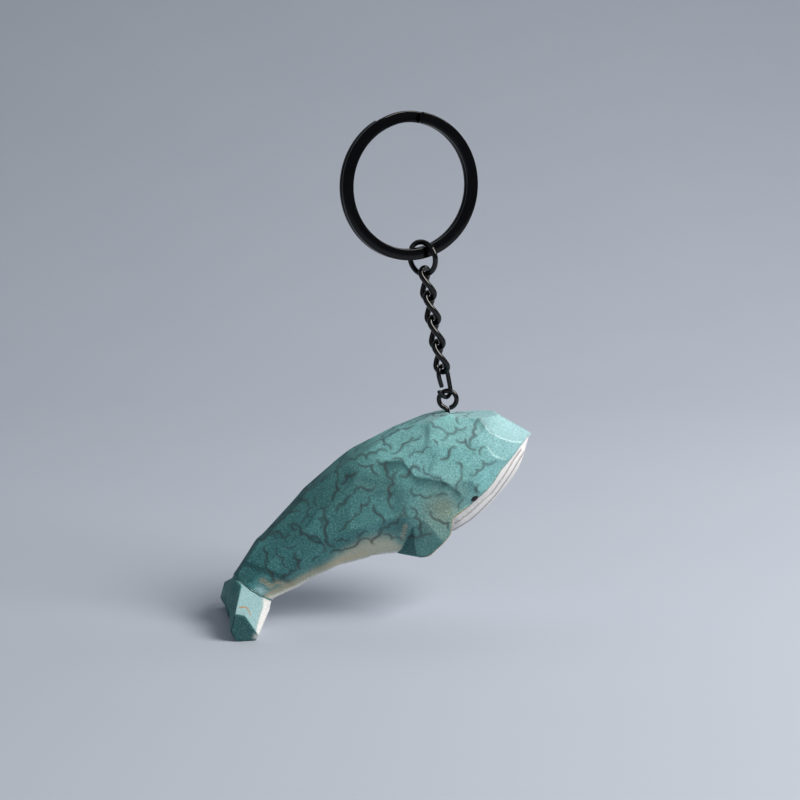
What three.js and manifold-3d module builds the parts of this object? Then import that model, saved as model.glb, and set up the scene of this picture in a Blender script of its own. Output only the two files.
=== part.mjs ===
import * as THREE from "three";
import { mergeVertices } from "three/addons/utils/BufferGeometryUtils.js";
import Module from "manifold-3d";

// A hand-carved, painted wooden whale on a key ring.
// Millimetres and degrees. +Z is up, the whale's head is towards +X and its near flank faces -Y.
// The origin is the inside top of the split ring, the place from which the key ring hangs.

// Split ring: flat spring wire wound twice round, its two coils lying face to face
const ringOuterDiameter = 30;
const ringWireWidth = 2.3;
const ringWireThickness = 1.0;
const ringCoilGap = 0.15;
const ringYaw = 14;
const ringFrontCutAngle = 82;
const ringBackCutAngle = 118;
const ringCutClearance = 2.5;

// Jump ring: round wire bent into an open ring, hung on the split ring's lowest stretch
const jumpOuterDiameter = 7.8;
const jumpWire = 1.1;
const jumpHangAngle = 11.5;
const jumpHangGap = 0.5;
const jumpLean = 8.5;
const jumpYaw = -51;
const jumpCutAngle = 146;
const jumpCutWidth = 0.4;

// Curb chain: oval links, each twisted a quarter turn so that neighbours cross square
const chainLean = 10.6;
const linkCount = 4;
const linkWire = 1.2;
const linkEndRadius = 1.6;
const linkLength = 6.5;
const linkGap = 0.15;
const linkTopTurn = 45;
const linkTwist = 90;

// End link: a plain open link that joins the chain to the screw eye, sprung a little apart at its cut
const endLinkWire = 0.95;
const endLinkLength = 6.6;
const endLinkTurn = 44;
const endLinkCutDepth = 4.6;
const endLinkCutWidth = 0.35;
const endLinkSplay = 0.5;
const endLinkSplayLength = 2.2;

// Screw eye: a bent wire loop on a pointed shank, turned into the whale's back
const eyeOuterDiameter = 4.65;
const eyeWire = 1.0;
const eyeNeck = 0.8;
const eyeHangGap = 0.3;
const eyeYaw = -12;
const eyeFreeEndAngle = -52;
const eyeShankDiameter = 1.3;
const eyeShankLength = 8;
const eyePointLength = 1.6;
const eyeHoleClearance = 0.3;

// Whale's body as ribs from the tail to the snout, measured from the foot of the screw eye:
// [back x, back z, keel x, keel z, half width]
const ribs = [
  [-44.8, -32.2, -37.2, -37.5, 4.0],
  [-40.2, -25.5, -32.3, -35.5, 5.2],
  [-35.4, -20.8, -27.9, -32.8, 6.8],
  [-29.6, -14.9, -23.2, -30.6, 8.6],
  [-23.4, -10.0, -18.5, -29.3, 10.0],
  [-16.8, -5.7, -13.8, -28.4, 11.0],
  [-9.8, -2.6, -8.3, -28.0, 11.5],
  [-2.3, -0.1, -2.3, -25.9, 11.6],
  [3.7, -0.1, 4.2, -22.4, 11.0],
  [9.7, -0.3, 9.7, -17.8, 8.8],
  [14.2, -2.3, 13.7, -12.1, 5.5],
  [17.6, -4.2, 17.6, -5.8, 1.2],
];

// One side of a rib before it is cut, from the back to the keel:
// [share of the half width, height from -1 at the keel to 1 at the back]
const ribFacets = [
  [0, 1.01],
  [0.36, 0.98],
  [0.78, 0.61],
  [1, 0.08],
  [0.87, -0.5],
  [0.44, -0.96],
  [0, -1.02],
];

// Flat knife cuts that carve the body's facets, each value a share of the whole:
// [way along from tail to snout, way round from the back, how much further forward and round it faces]
const backCuts = [
  [0.05, 0, 0, 0],
  [0.18, 0, 0, 0],
  [0.32, 0, 0, 0],
  [0.46, 0, 0, 0],
  [0.61, 0, 0, 0],
  [0.765, 0, 0, 0],
  [0.9, 0, 0, 0],
];
const flankCuts = [
  [0.07, 0.15, 0, 0],
  [0.175, 0.135, 0, 0],
  [0.3, 0.115, -0.03, 0],
  [0.5, 0.125, 0.05, -0.015],
  [0.65, 0.135, 0.02, -0.015],
  [0.85, 0.125, 0, 0],
  [0.06, 0.26, 0, 0],
  [0.17, 0.235, 0, 0],
  [0.292, 0.222, 0, 0],
  [0.425, 0.226, -0.01, 0.015],
  [0.535, 0.24, 0, 0.015],
  [0.675, 0.215, 0.01, 0],
  [0.765, 0.19, 0, 0],
  [0.83, 0.215, 0, 0],
  [0.775, 0.27, 0.02, 0],
  [0.925, 0.19, 0, 0],
  [0.12, 0.345, 0, 0],
  [0.22, 0.325, 0, 0],
  [0.335, 0.335, 0, 0],
  [0.46, 0.34, 0, 0],
  [0.635, 0.295, 0, 0.01],
  [0.71, 0.345, 0, 0],
  [0.87, 0.31, 0, 0],
  [0.08, 0.44, 0, 0],
  [0.2, 0.445, 0, 0],
  [0.33, 0.45, 0, 0],
  [0.47, 0.45, 0, 0],
  [0.62, 0.44, 0, 0],
  [0.76, 0.43, 0, 0],
  [0.86, 0.42, 0, 0],
];
const cutDepth = 0.42;
const cutBackDepth = 0.15;
const cutDeepest = 1.4;
const cutProudest = 0.35;
const cutLeastSlant = 0.35;
const cutBlend = 0.2;
const cutReach = 1.3;
const cutSlenderness = 0.66;

// Throat: below the mouth line the body steps in; the outline runs along the mouth and then round below it
const throatOutline = [
  [18.2, -4.9],
  [16.2, -5.5],
  [13.6, -7.0],
  [10.9, -8.9],
  [9.0, -11.1],
  [7.2, -13.5],
  [4.4, -15.8],
  [2.1, -17.8],
  [-0.6, -19.3],
  [-2.0, -22.5],
  [-2.0, -40.0],
  [30.0, -40.0],
  [30.0, -4.9],
];
const throatStep = 0.4;

// Flipper: a paddle left standing on the flank, measured from the foot of the screw eye
const flipperOutline = [
  [-4.2, -13.2],
  [-9.0, -15.2],
  [-10.3, -18.2],
  [-9.5, -21.6],
  [-9.0, -26.1],
  [-8.3, -27.7],
  [-6.0, -27.6],
  [-4.2, -26.0],
  [-1.75, -23.4],
  [-1.15, -21.8],
  [-1.0, -20.5],
  [-0.6, -19.6],
  [-0.4, -16.4],
];
const flipperOuterTop = 9.85;
const flipperOuterTip = 11.3;
const flipperRootDepth = 6;
const flipperSweep = 3.2;
const flipperSweepStart = -17;
const flipperSweepEnd = -24;
const flipperTipThickness = 5.2;
const flipperBevel = 0.5;

// Behind a fold the flipper's outer face falls away
const flipperFoldPlace = [-6.3, -20.7];
const flipperFoldAngle = 219.6;
const flipperFoldTurn = 0.26;

// Tail fluke: a separate cross piece glued to the cut end of the tail
const glueLine = 0.3;
const flukeSpan = 25;
const flukeRootWidth = 8;
const flukeCrestWidth = 3;
const flukeShoulder = 1.3;
const flukeHeel = 0.6;
const flukeFootDepth = 7.8;
const flukeNotchHeight = 2.2;

// Corners of the fluke's profile below the glue line, measured from the middle of the tail's end
const flukeRootBack = [-5.45, -2.7];
const flukeRootFootBack = -4.95;
const flukeRootFootFront = 0.1;
const flukeRootFront = [2.95, -4.0];
const flukeTipBackTop = [-5.05, -2.3];
const flukeTipBack = [-5.95, -5.8];
const flukeTipFootBack = -4.75;
const flukeTipFootFront = -0.8;
const flukeTipFront = [-0.4, -7.0];
const flukeTipFrontTop = [-3.25, -2.6];

// Fineness of the round shapes
const ringStepAngle = 7.5;
const rampSteps = 8;
const wireSides = 10;
const linkSteps = 40;
const openWireSteps = 36;
const holeSides = 16;
const bodyRows = 46;
const bodySides = 36;
const surveyStep = 0.004;
const spineSteps = 200;
const weldDistance = 1e-4;

// Sizes that follow from those above
const ringInnerRadius = ringOuterDiameter / 2 - ringWireWidth;
const jumpRadius = (jumpOuterDiameter - jumpWire) / 2;
const eyeRadius = (eyeOuterDiameter - eyeWire) / 2;
const eyeSeatDepth = eyeOuterDiameter / 2 + eyeNeck;
const linkPitch = linkLength - linkWire - linkGap;
const endLinkDrop = linkCount * linkPitch + (linkWire - endLinkWire) / 2;
const chainLength = endLinkDrop + endLinkLength;

// Lines along the whale's back, keel and middle, with the half width as Y, and its girth as a closed curve
const backLine = smoothLine(ribs.map(([x, z, , , halfWidth]) => [x, halfWidth, z]));
const keelLine = smoothLine(ribs.map(([, , x, z, halfWidth]) => [x, halfWidth, z]));
const middleLine = smoothLine(ribs.map(([backX, backZ, x, z]) => [(backX + x) / 2, 0, (backZ + z) / 2]));
const spineLengths = middleLine.getLengths(spineSteps);
const otherSide = ribFacets.slice(1, -1).reverse();
const girth = smoothLine(
  [...ribFacets.map(([share, z]) => [share, 0, z]), ...otherSide.map(([share, z]) => [-share, 0, z])],
  true,
);

const wasm = await Module();
wasm.setup();

const radians = THREE.MathUtils.degToRad;

function smoothLine(points, closed = false) {
  const knots = points.map((point) => new THREE.Vector3(...point));
  return new THREE.CatmullRomCurve3(knots, closed, "catmullrom");
}

// A closed mesh with one vertex at each corner
function welded(geometry) {
  geometry.deleteAttribute("normal");
  geometry.deleteAttribute("uv");
  return mergeVertices(geometry, weldDistance);
}

function toSolid(geometry) {
  const closed = welded(geometry);
  return new wasm.Manifold(
    new wasm.Mesh({
      numProp: 3,
      vertProperties: new Float32Array(closed.attributes.position.array),
      triVerts: new Uint32Array(closed.index.array),
    }),
  );
}

function fromSolid(solid) {
  const mesh = solid.getMesh();
  const geometry = new THREE.BufferGeometry();
  geometry.setAttribute("position", new THREE.BufferAttribute(mesh.vertProperties, 3));
  geometry.setIndex(new THREE.BufferAttribute(mesh.triVerts, 1));
  return geometry;
}

// A skin over a row of closed outlines with equal point counts, with a flat cap at each end.
// The outlines run anticlockwise as seen looking back from the last one.
function skin(outlines) {
  const count = outlines[0].length;
  const positions = outlines.flat().flatMap((point) => point.toArray());
  const indices = [];
  for (let row = 0; row < outlines.length - 1; row++) {
    for (let i = 0; i < count; i++) {
      const here = row * count + i;
      const beside = row * count + ((i + 1) % count);
      indices.push(here, beside, beside + count, here, beside + count, here + count);
    }
  }
  const last = (outlines.length - 1) * count;
  for (let i = 1; i < count - 1; i++) {
    indices.push(0, i + 1, i, last, last + i, last + i + 1);
  }
  const geometry = new THREE.BufferGeometry();
  geometry.setAttribute("position", new THREE.Float32BufferAttribute(positions, 3));
  geometry.setIndex(indices);
  return geometry;
}

// Round wire along an open curve, with flat cut ends
function cutWire(curve, diameter, steps) {
  const section = new THREE.Shape();
  section.absarc(0, 0, diameter / 2, 0, 2 * Math.PI);
  return new THREE.ExtrudeGeometry(section, {
    steps,
    curveSegments: wireSides / 2,
    bevelEnabled: false,
    extrudePath: curve,
  });
}

// An arc in the XZ plane round the origin; angles count from +X towards +Z
class UprightArc extends THREE.Curve {
  constructor(radius, startAngle, endAngle) {
    super();
    this.radius = radius;
    this.startAngle = radians(startAngle);
    this.endAngle = radians(endAngle);
  }

  getPoint(t, target = new THREE.Vector3()) {
    const angle = THREE.MathUtils.lerp(this.startAngle, this.endAngle, t);
    return target.set(this.radius * Math.cos(angle), 0, this.radius * Math.sin(angle));
  }
}

// The middle line of an oval link, twisted about its length. Its top apex is the origin and its bottom
// apex lies down -Z. The way round starts at the top, goes down one strand and comes up the other.
class LinkLoop extends THREE.Curve {
  constructor(length, topTurn, twist) {
    super();
    this.length = length;
    this.topTurn = radians(topTurn);
    this.twist = radians(twist);
    this.bend = (Math.PI / 2) * linkEndRadius;
    this.straight = length - 2 * linkEndRadius;
    this.wayRound = 2 * (2 * this.bend + this.straight);
  }

  // The point at a distance along the wire from the top apex
  pointAt(distance, outward, target) {
    const way = THREE.MathUtils.euclideanModulo(distance, this.wayRound);
    const goingDown = way < this.wayRound / 2;
    const travelled = goingDown ? way : this.wayRound - way;
    const intoTop = Math.min(travelled, this.bend) / linkEndRadius;
    const intoStraight = THREE.MathUtils.clamp(travelled - this.bend, 0, this.straight);
    const intoBottom = Math.max(travelled - this.bend - this.straight, 0) / linkEndRadius;
    const depth = linkEndRadius * (1 - Math.cos(intoTop) + Math.sin(intoBottom)) + intoStraight;
    const reach = linkEndRadius * Math.sin(intoTop) * Math.cos(intoBottom) + outward;
    const turn = this.topTurn + this.twist * THREE.MathUtils.smoothstep(depth, 0, this.length);
    const side = goingDown ? reach : -reach;
    return target.set(side * Math.cos(turn), side * Math.sin(turn), -depth);
  }

  getPoint(t, target = new THREE.Vector3()) {
    return this.pointAt(t * this.wayRound, 0, target);
  }
}

// A link cut through its second strand; the strand's upper end is sprung outwards beside the cut
class OpenLinkLoop extends LinkLoop {
  getPoint(t, target = new THREE.Vector3()) {
    const cut = this.wayRound - this.bend - (endLinkCutDepth - linkEndRadius);
    const start = cut + endLinkCutWidth / 2;
    const distance = start + t * (this.wayRound - endLinkCutWidth);
    const sprung = 1 - THREE.MathUtils.smoothstep(distance - start, 0, endLinkSplayLength);
    return this.pointAt(distance, endLinkSplay * sprung, target);
  }
}

// Flat wire wound twice: the front coil, a slanting stretch between the cut ends, then the back coil
function splitRingGeometry() {
  const outerRadius = ringOuterDiameter / 2;
  const coilOffset = (ringWireThickness + ringCoilGap) / 2;
  const rampStart = ringBackCutAngle - ringCutClearance - 360;
  const rampEnd = ringFrontCutAngle + ringCutClearance - 360;
  const backEnd = ringBackCutAngle - 720;
  const stops = [];
  const addStretch = (from, to, steps) => {
    for (let i = 0; i < steps; i++) {
      stops.push(THREE.MathUtils.lerp(from, to, i / steps));
    }
  };
  addStretch(ringFrontCutAngle, rampStart, Math.round((ringFrontCutAngle - rampStart) / ringStepAngle));
  addStretch(rampStart, rampEnd, rampSteps);
  addStretch(rampEnd, backEnd, Math.round((rampEnd - backEnd) / ringStepAngle));
  stops.push(backEnd);
  const outlines = stops.map((angle) => {
    const across = THREE.MathUtils.smoothstep(-angle, -rampStart, -rampEnd);
    const middle = THREE.MathUtils.lerp(-coilOffset, coilOffset, across);
    const front = middle - ringWireThickness / 2;
    const back = middle + ringWireThickness / 2;
    const corners = [
      [ringInnerRadius, front],
      [ringInnerRadius, back],
      [outerRadius, back],
      [outerRadius, front],
    ];
    const cos = Math.cos(radians(angle));
    const sin = Math.sin(radians(angle));
    return corners.map(([radius, y]) => new THREE.Vector3(radius * cos, y, radius * sin));
  });
  return skin(outlines);
}

function jumpRingGeometry() {
  const halfCut = THREE.MathUtils.radToDeg(jumpCutWidth / 2 / jumpRadius);
  const arc = new UprightArc(jumpRadius, jumpCutAngle + halfCut, jumpCutAngle + 360 - halfCut);
  return cutWire(arc, jumpWire, openWireSteps);
}

function curbLinkGeometry() {
  const loop = new LinkLoop(linkLength, linkTopTurn, linkTwist);
  return new THREE.TubeGeometry(loop, linkSteps, linkWire / 2, wireSides, true);
}

function endLinkGeometry() {
  return cutWire(new OpenLinkLoop(endLinkLength, endLinkTurn, 0), endLinkWire, linkSteps);
}

// The loop's middle is the origin, the whale's back lies at the seat depth, and the shank ends in a point
function screwEyeGeometry() {
  const loop = cutWire(new UprightArc(eyeRadius, 270, eyeFreeEndAngle), eyeWire, openWireSteps);
  const shankRadius = eyeShankDiameter / 2;
  const shankTop = -eyeRadius;
  const shankEnd = -eyeSeatDepth - eyeShankLength;
  const profile = [
    new THREE.Vector2(0, shankEnd),
    new THREE.Vector2(shankRadius, shankEnd + eyePointLength),
    new THREE.Vector2(shankRadius, -eyeSeatDepth),
    new THREE.Vector2(eyeWire / 2, -eyeSeatDepth + eyeNeck / 2),
    new THREE.Vector2(eyeWire / 2, shankTop),
    new THREE.Vector2(0, shankTop),
  ];
  const shank = new THREE.LatheGeometry(profile, holeSides).rotateX(Math.PI / 2);
  return fromSolid(toSolid(loop).add(toSolid(shank)));
}

// A point on the uncut body: along counts from the tail to the snout, round from the back down the far side
function bodyPoint(along, round) {
  const back = backLine.getPoint(along);
  const facet = girth.getPoint(THREE.MathUtils.euclideanModulo(round, 1));
  const point = keelLine.getPoint(along).lerp(back, (1 + facet.z) / 2);
  return point.setY(back.y * facet.x);
}

function bodyFacing(along, round) {
  const ahead = bodyPoint(along + surveyStep, round).sub(bodyPoint(along - surveyStep, round));
  const down = bodyPoint(along, round + surveyStep).sub(bodyPoint(along, round - surveyStep));
  return ahead.cross(down).normalize();
}

// Where a point of the body would lie if the body were straight and a little shorter
function straightened(along, point) {
  const fromMiddle = point.clone().sub(middleLine.getPoint(along)).setY(0);
  const travelled = spineLengths[Math.round(along * spineSteps)];
  const height = Math.sign(fromMiddle.z) * fromMiddle.length();
  return new THREE.Vector3(travelled * cutSlenderness, point.y, height);
}

function knifeCut([along, round, forward, further], side, depth) {
  const facing = bodyFacing(along + forward, side * (round + further));
  const middle = bodyPoint(along, side * round);
  const place = middle.clone().addScaledVector(facing, -depth);
  return { facing, place, middle: straightened(along, middle) };
}

// An outline round the carved body: each point moves to the plane of the cut that claims it,
// which is the nearest one, or a farther one that lies deeper
function carvedOutline(along, cuts, inset) {
  const spine = middleLine.getPoint(along);
  const fade = THREE.MathUtils.smoothstep(along, 0, 0.03) * THREE.MathUtils.smoothstep(1 - along, 0, 0.05);
  return Array.from({ length: bodySides }, (_, i) => {
    const point = bodyPoint(along, -i / bodySides);
    const here = straightened(along, point);
    const ray = point.clone().sub(spine).normalize();
    const claims = cuts.map(({ facing, place, middle }) => {
      const slant = Math.max(facing.dot(ray), cutLeastSlant);
      const moved = place.clone().sub(point).dot(facing) / slant;
      const move = THREE.MathUtils.clamp(moved, -cutDeepest, cutProudest);
      return { move, cost: here.distanceToSquared(middle) / (2 * cutReach ** 2) + move / cutBlend };
    });
    const { move } = claims.reduce((best, claim) => (claim.cost < best.cost ? claim : best));
    return point.addScaledVector(ray, move * fade - inset);
  });
}

// A flipper runs from its root inside the flank, swept towards the tail, to its bevelled outer face
function flipperSolid(side) {
  const heights = flipperOutline.map(([, z]) => z);
  const top = Math.max(...heights);
  const tip = Math.min(...heights);
  const middleX = flipperOutline.reduce((sum, [x]) => sum + x, 0) / flipperOutline.length;
  const middleZ = (top + tip) / 2;
  const innerTip = flipperOuterTip - flipperTipThickness;
  const flare = (flipperOuterTip - flipperOuterTop) / (top - tip);
  const outward = (z) => flipperOuterTop + flare * (top - z);
  const inward = (z) => THREE.MathUtils.mapLinear(z, top, tip, flipperRootDepth, innerTip);
  const swept = (z) => flipperSweep * THREE.MathUtils.smoothstep(-z, -flipperSweepStart, -flipperSweepEnd);
  const narrowed = (x, z) => {
    const fromMiddle = new THREE.Vector2(x - middleX, z - middleZ);
    fromMiddle.setLength(fromMiddle.length() - flipperBevel);
    return [middleX + fromMiddle.x, middleZ + fromMiddle.y];
  };
  const root = flipperOutline.map(([x, z]) => new THREE.Vector3(x - swept(z), side * inward(z), z));
  const rim = flipperOutline.map(([x, z]) => new THREE.Vector3(x, side * (outward(z) - flipperBevel), z));
  const face = flipperOutline.map(([x, z]) => {
    const [faceX, faceZ] = narrowed(x, z);
    return new THREE.Vector3(faceX, side * outward(faceZ), faceZ);
  });
  const paddle = toSolid(skin(side < 0 ? [root, rim, face] : [face, rim, root]));
  const [foldX, foldZ] = flipperFoldPlace;
  const foldNormal = new THREE.Vector3(
    flipperFoldTurn * Math.cos(radians(flipperFoldAngle)),
    side,
    flare + flipperFoldTurn * Math.sin(radians(flipperFoldAngle)),
  ).normalize();
  const foldPoint = new THREE.Vector3(foldX, side * outward(foldZ), foldZ);
  return paddle.trimByPlane(foldNormal.clone().negate().toArray(), -foldNormal.dot(foldPoint));
}

// The body is carved to facets, carries both flippers and has a blind hole for the screw eye's shank
function whaleBodyGeometry() {
  const holeRadius = eyeShankDiameter / 2 + eyeHoleClearance;
  const holeDepth = eyeShankLength + eyeHoleClearance;
  const highest = Math.max(...ribs.map(([, backZ]) => backZ)) + cutProudest;
  const holeTop = highest + eyeNeck;
  const hole = new THREE.CylinderGeometry(holeRadius, holeRadius, holeTop + holeDepth, holeSides);
  hole.rotateX(Math.PI / 2);
  hole.translate(0, 0, (holeTop - holeDepth) / 2);
  const cuts = [
    ...backCuts.map((cut) => knifeCut(cut, 1, cutBackDepth)),
    ...flankCuts.map((cut) => knifeCut(cut, 1, cutDepth)),
    ...flankCuts.map((cut) => knifeCut(cut, -1, cutDepth)),
  ];
  const stops = Array.from({ length: bodyRows }, (_, i) => i / (bodyRows - 1));
  const carved = (inset) => toSolid(skin(stops.map((along) => carvedOutline(along, cuts, inset))));
  const throatShape = new THREE.Shape(throatOutline.map(([x, z]) => new THREE.Vector2(x, z)));
  const widest = Math.max(...ribs.map(([, , , , halfWidth]) => halfWidth));
  const throat = new THREE.ExtrudeGeometry(throatShape, { depth: 4 * widest, bevelEnabled: false });
  throat.translate(0, 0, -2 * widest).rotateX(Math.PI / 2);
  const mouthStep = toSolid(throat).subtract(carved(throatStep));
  const body = carved(0).subtract(mouthStep).add(flipperSolid(1)).add(flipperSolid(-1));
  return fromSolid(body.subtract(toSolid(hole)));
}

// The fluke is skinned across the whale, from one tip through the notched middle to the other
function tailFlukeGeometry() {
  const [backX, backZ, keelX, keelZ] = ribs[0];
  const endMiddle = new THREE.Vector2((backX + keelX) / 2, (backZ + keelZ) / 2);
  const acrossEnd = new THREE.Vector2(backX - keelX, backZ - keelZ);
  const halfEnd = acrossEnd.length() / 2;
  acrossEnd.normalize();
  const awayFromBody = new THREE.Vector2(-acrossEnd.y, acrossEnd.x);
  const onSeam = (reach) =>
    new THREE.Vector2().addScaledVector(acrossEnd, reach).addScaledVector(awayFromBody, glueLine).toArray();
  const foot = -flukeFootDepth;
  const rootProfile = (shoulder, heel, bottom) => [
    onSeam(halfEnd - shoulder),
    flukeRootBack,
    [flukeRootFootBack, bottom],
    [flukeRootFootFront, bottom],
    flukeRootFront,
    onSeam(heel - halfEnd),
  ];
  const tip = [
    flukeTipBackTop,
    flukeTipBack,
    [flukeTipFootBack, foot],
    [flukeTipFootFront, foot],
    flukeTipFront,
    flukeTipFrontTop,
  ];
  const root = rootProfile(flukeShoulder, flukeHeel, foot);
  const crest = rootProfile(0, 0, foot + flukeNotchHeight);
  const slices = [
    [flukeSpan / 2, tip],
    [flukeRootWidth / 2, root],
    [flukeCrestWidth / 2, crest],
    [-flukeCrestWidth / 2, crest],
    [-flukeRootWidth / 2, root],
    [-flukeSpan / 2, tip],
  ];
  const outlines = slices.map(([y, profile]) =>
    profile.map(([x, z]) => new THREE.Vector3(endMiddle.x + x, y, endMiddle.y + z)),
  );
  return skin(outlines);
}

const blackWire = { color: 0x17181a, roughness: 0.28, metalness: 0.8 };
const splitRingSteel = { color: 0x121315, roughness: 0.22, metalness: 0.85 };
const tealPaintedWood = { color: 0x5a9c99, roughness: 0.62, metalness: 0 };
const deepTealPaintedWood = { color: 0x3d7c7c, roughness: 0.6, metalness: 0 };

function piece(name, geometry, finish) {
  const closed = welded(geometry);
  closed.computeVertexNormals();
  const mesh = new THREE.Mesh(closed, new THREE.MeshStandardMaterial({ ...finish, flatShading: true }));
  mesh.name = name;
  return mesh;
}

// A downward direction that leans towards +X
function downwards(lean) {
  return new THREE.Vector3(Math.sin(radians(lean)), 0, -Math.cos(radians(lean)));
}

const keyRing = new THREE.Group();

const splitRing = piece("split_ring", splitRingGeometry(), splitRingSteel);
splitRing.position.set(0, 0, -ringInnerRadius);
splitRing.rotation.z = radians(ringYaw);
keyRing.add(splitRing);

// Everything below hangs from this point on the split ring's inner edge
const hanging = new THREE.Group();
hanging.position
  .copy(downwards(jumpHangAngle))
  .multiplyScalar(ringInnerRadius)
  .applyAxisAngle(new THREE.Vector3(0, 0, 1), radians(ringYaw))
  .add(splitRing.position);
keyRing.add(hanging);

const jumpDown = downwards(jumpLean);
const jumpRing = piece("jump_ring", jumpRingGeometry(), blackWire);
jumpRing.position.copy(jumpDown).multiplyScalar(jumpRadius - jumpWire / 2 - jumpHangGap);
jumpRing.rotation.set(0, -radians(jumpLean), radians(jumpYaw), "YZX");
hanging.add(jumpRing);

// The chain's own group leans, so that its links follow one another straight down
const chainDown = downwards(chainLean);
const chain = new THREE.Group();
chain.position
  .copy(jumpRing.position)
  .addScaledVector(jumpDown, jumpRadius)
  .addScaledVector(chainDown, -(jumpWire + linkWire) / 2 - linkGap);
chain.rotation.y = -radians(chainLean);
hanging.add(chain);

for (let i = 0; i < linkCount; i++) {
  const link = piece(`curb_link_${i + 1}`, curbLinkGeometry(), blackWire);
  link.position.z = -i * linkPitch;
  chain.add(link);
}

const endLink = piece("end_link", endLinkGeometry(), blackWire);
endLink.position.z = -endLinkDrop;
chain.add(endLink);

const screwEye = piece("screw_eye", screwEyeGeometry(), blackWire);
screwEye.position
  .copy(chain.position)
  .addScaledVector(chainDown, chainLength - (endLinkWire + eyeWire) / 2 - eyeHangGap + eyeRadius);
screwEye.rotation.z = radians(eyeYaw);
hanging.add(screwEye);

const whale = new THREE.Group();
whale.position.copy(screwEye.position);
whale.position.z -= eyeSeatDepth;
whale.add(piece("whale_body", whaleBodyGeometry(), tealPaintedWood));
whale.add(piece("tail_fluke", tailFlukeGeometry(), deepTealPaintedWood));
hanging.add(whale);

export default keyRing;
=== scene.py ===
import math

import bpy
import numpy as np
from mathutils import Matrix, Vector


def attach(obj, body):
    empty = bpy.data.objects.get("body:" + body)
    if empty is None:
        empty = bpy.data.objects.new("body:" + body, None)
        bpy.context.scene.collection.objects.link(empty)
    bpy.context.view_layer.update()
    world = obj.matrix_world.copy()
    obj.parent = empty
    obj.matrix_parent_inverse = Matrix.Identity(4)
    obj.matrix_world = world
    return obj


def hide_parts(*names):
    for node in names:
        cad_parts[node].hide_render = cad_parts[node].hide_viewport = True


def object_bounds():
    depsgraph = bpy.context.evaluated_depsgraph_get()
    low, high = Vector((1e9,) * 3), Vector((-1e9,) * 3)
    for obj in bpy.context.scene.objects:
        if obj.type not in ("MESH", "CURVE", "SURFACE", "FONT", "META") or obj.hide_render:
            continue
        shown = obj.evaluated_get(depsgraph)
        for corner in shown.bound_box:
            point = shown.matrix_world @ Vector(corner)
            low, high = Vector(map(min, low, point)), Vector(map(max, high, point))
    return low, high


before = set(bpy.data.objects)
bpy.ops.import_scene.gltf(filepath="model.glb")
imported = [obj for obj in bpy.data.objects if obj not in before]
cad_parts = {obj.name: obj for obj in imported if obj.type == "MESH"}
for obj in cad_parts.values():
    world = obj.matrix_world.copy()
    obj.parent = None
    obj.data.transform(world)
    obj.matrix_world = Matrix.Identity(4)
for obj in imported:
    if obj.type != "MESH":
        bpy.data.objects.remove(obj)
cadLow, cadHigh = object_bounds()
print("frame loaded, nodes:", len(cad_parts))

mm = 0.001
tiny = 1e-12  # keeps a division clear of nought
yAxis = np.array([[0.0, 1.0, 0.0]])


# small tools for arrays of points, all in millimetres

def unit(vectors):
    return vectors / np.linalg.norm(vectors, axis=-1, keepdims=True)


# eases from 0 at one value to 1 at another: three times the share's square less twice its cube
def smoothStep(low, high, x):
    share = np.clip((x - low) / (high - low), 0, 1)
    return share * share * (3 - 2 * share)


# turn about the upright axis, from +X towards +Y
def turnedAboutZ(points, degrees):
    c, s = math.cos(math.radians(degrees)), math.sin(math.radians(degrees))
    return np.asarray(points) @ np.array([[c, s, 0], [-s, c, 0], [0, 0, 1]])


# turn about the Y axis, so that what hangs down leans towards +X
def leaned(points, degrees):
    c, s = math.cos(math.radians(degrees)), math.sin(math.radians(degrees))
    return np.asarray(points) @ np.array([[c, 0, s], [0, 1, 0], [-s, 0, c]])


# smooth curve through evenly counted knots: each stretch is the cubic set by its four neighbours
def curveThrough(knots, where, closed=False):
    knots = np.asarray(knots, float)
    count = len(knots)
    start = np.floor(where).astype(int)
    if not closed:
        start = np.clip(start, 0, count - 2)
    share = (where - start)[:, None]
    places = [start - 1, start, start + 1, start + 2]
    places = [p % count if closed else np.clip(p, 0, count - 1) for p in places]
    a, b, c, d = [knots[p] for p in places]
    return b + 0.5 * share * (c - a + share * (2 * a - 5 * b + 4 * c - d + share * (3 * (b - c) + d - a)))


# distance of points to an open line of straight stretches, and how far along it the nearest place lies
def lineDistance(points, line):
    line = np.asarray(line, float)
    nearest = np.full(points.shape[:-1], np.inf)
    place = np.zeros(points.shape[:-1])
    for number in range(len(line) - 1):
        a, along = line[number], line[number + 1] - line[number]
        share = np.clip(((points - a) @ along) / max(along @ along, tiny), 0, 1)
        gap = np.linalg.norm(points - a - share[..., None] * along, axis=-1)
        place = np.where(gap < nearest, number + share, place)
        nearest = np.minimum(nearest, gap)
    return nearest, place / (len(line) - 1)


# signed distance of points to a closed outline in the plane, negative inside:
# a point is inside where a level line from it crosses the outline an odd number of times
def outlineDistance(points, outline):
    closed = np.array([*outline, outline[0]], float)
    x, y = points[..., 0], points[..., 1]
    inside = np.zeros(points.shape[:-1], bool)
    for a, b in zip(closed[:-1], closed[1:]):
        crossing = a[0] + (y - a[1]) * (b[0] - a[0]) / ((b[1] - a[1]) or tiny)
        inside ^= ((a[1] > y) != (b[1] > y)) & (x < crossing)
    nearest = lineDistance(points, closed)[0]
    return np.where(inside, -nearest, nearest)


# distance travelled along a line of points, from its first one
def travelledAlong(path):
    return np.concatenate([[0], np.cumsum(np.linalg.norm(np.diff(path, axis=0), axis=1))])


def sceneObject(name, data):
    made = bpy.data.objects.new(name, data)
    bpy.context.scene.collection.objects.link(made)
    return made


# paint masks: one number for each point of a mesh
def setMasks(piece, masks):
    for key, value in masks.items():
        store = piece.data.attributes.new(key, "FLOAT", "POINT")
        store.data.foreach_set("value", np.asarray(value, np.float32))


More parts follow.
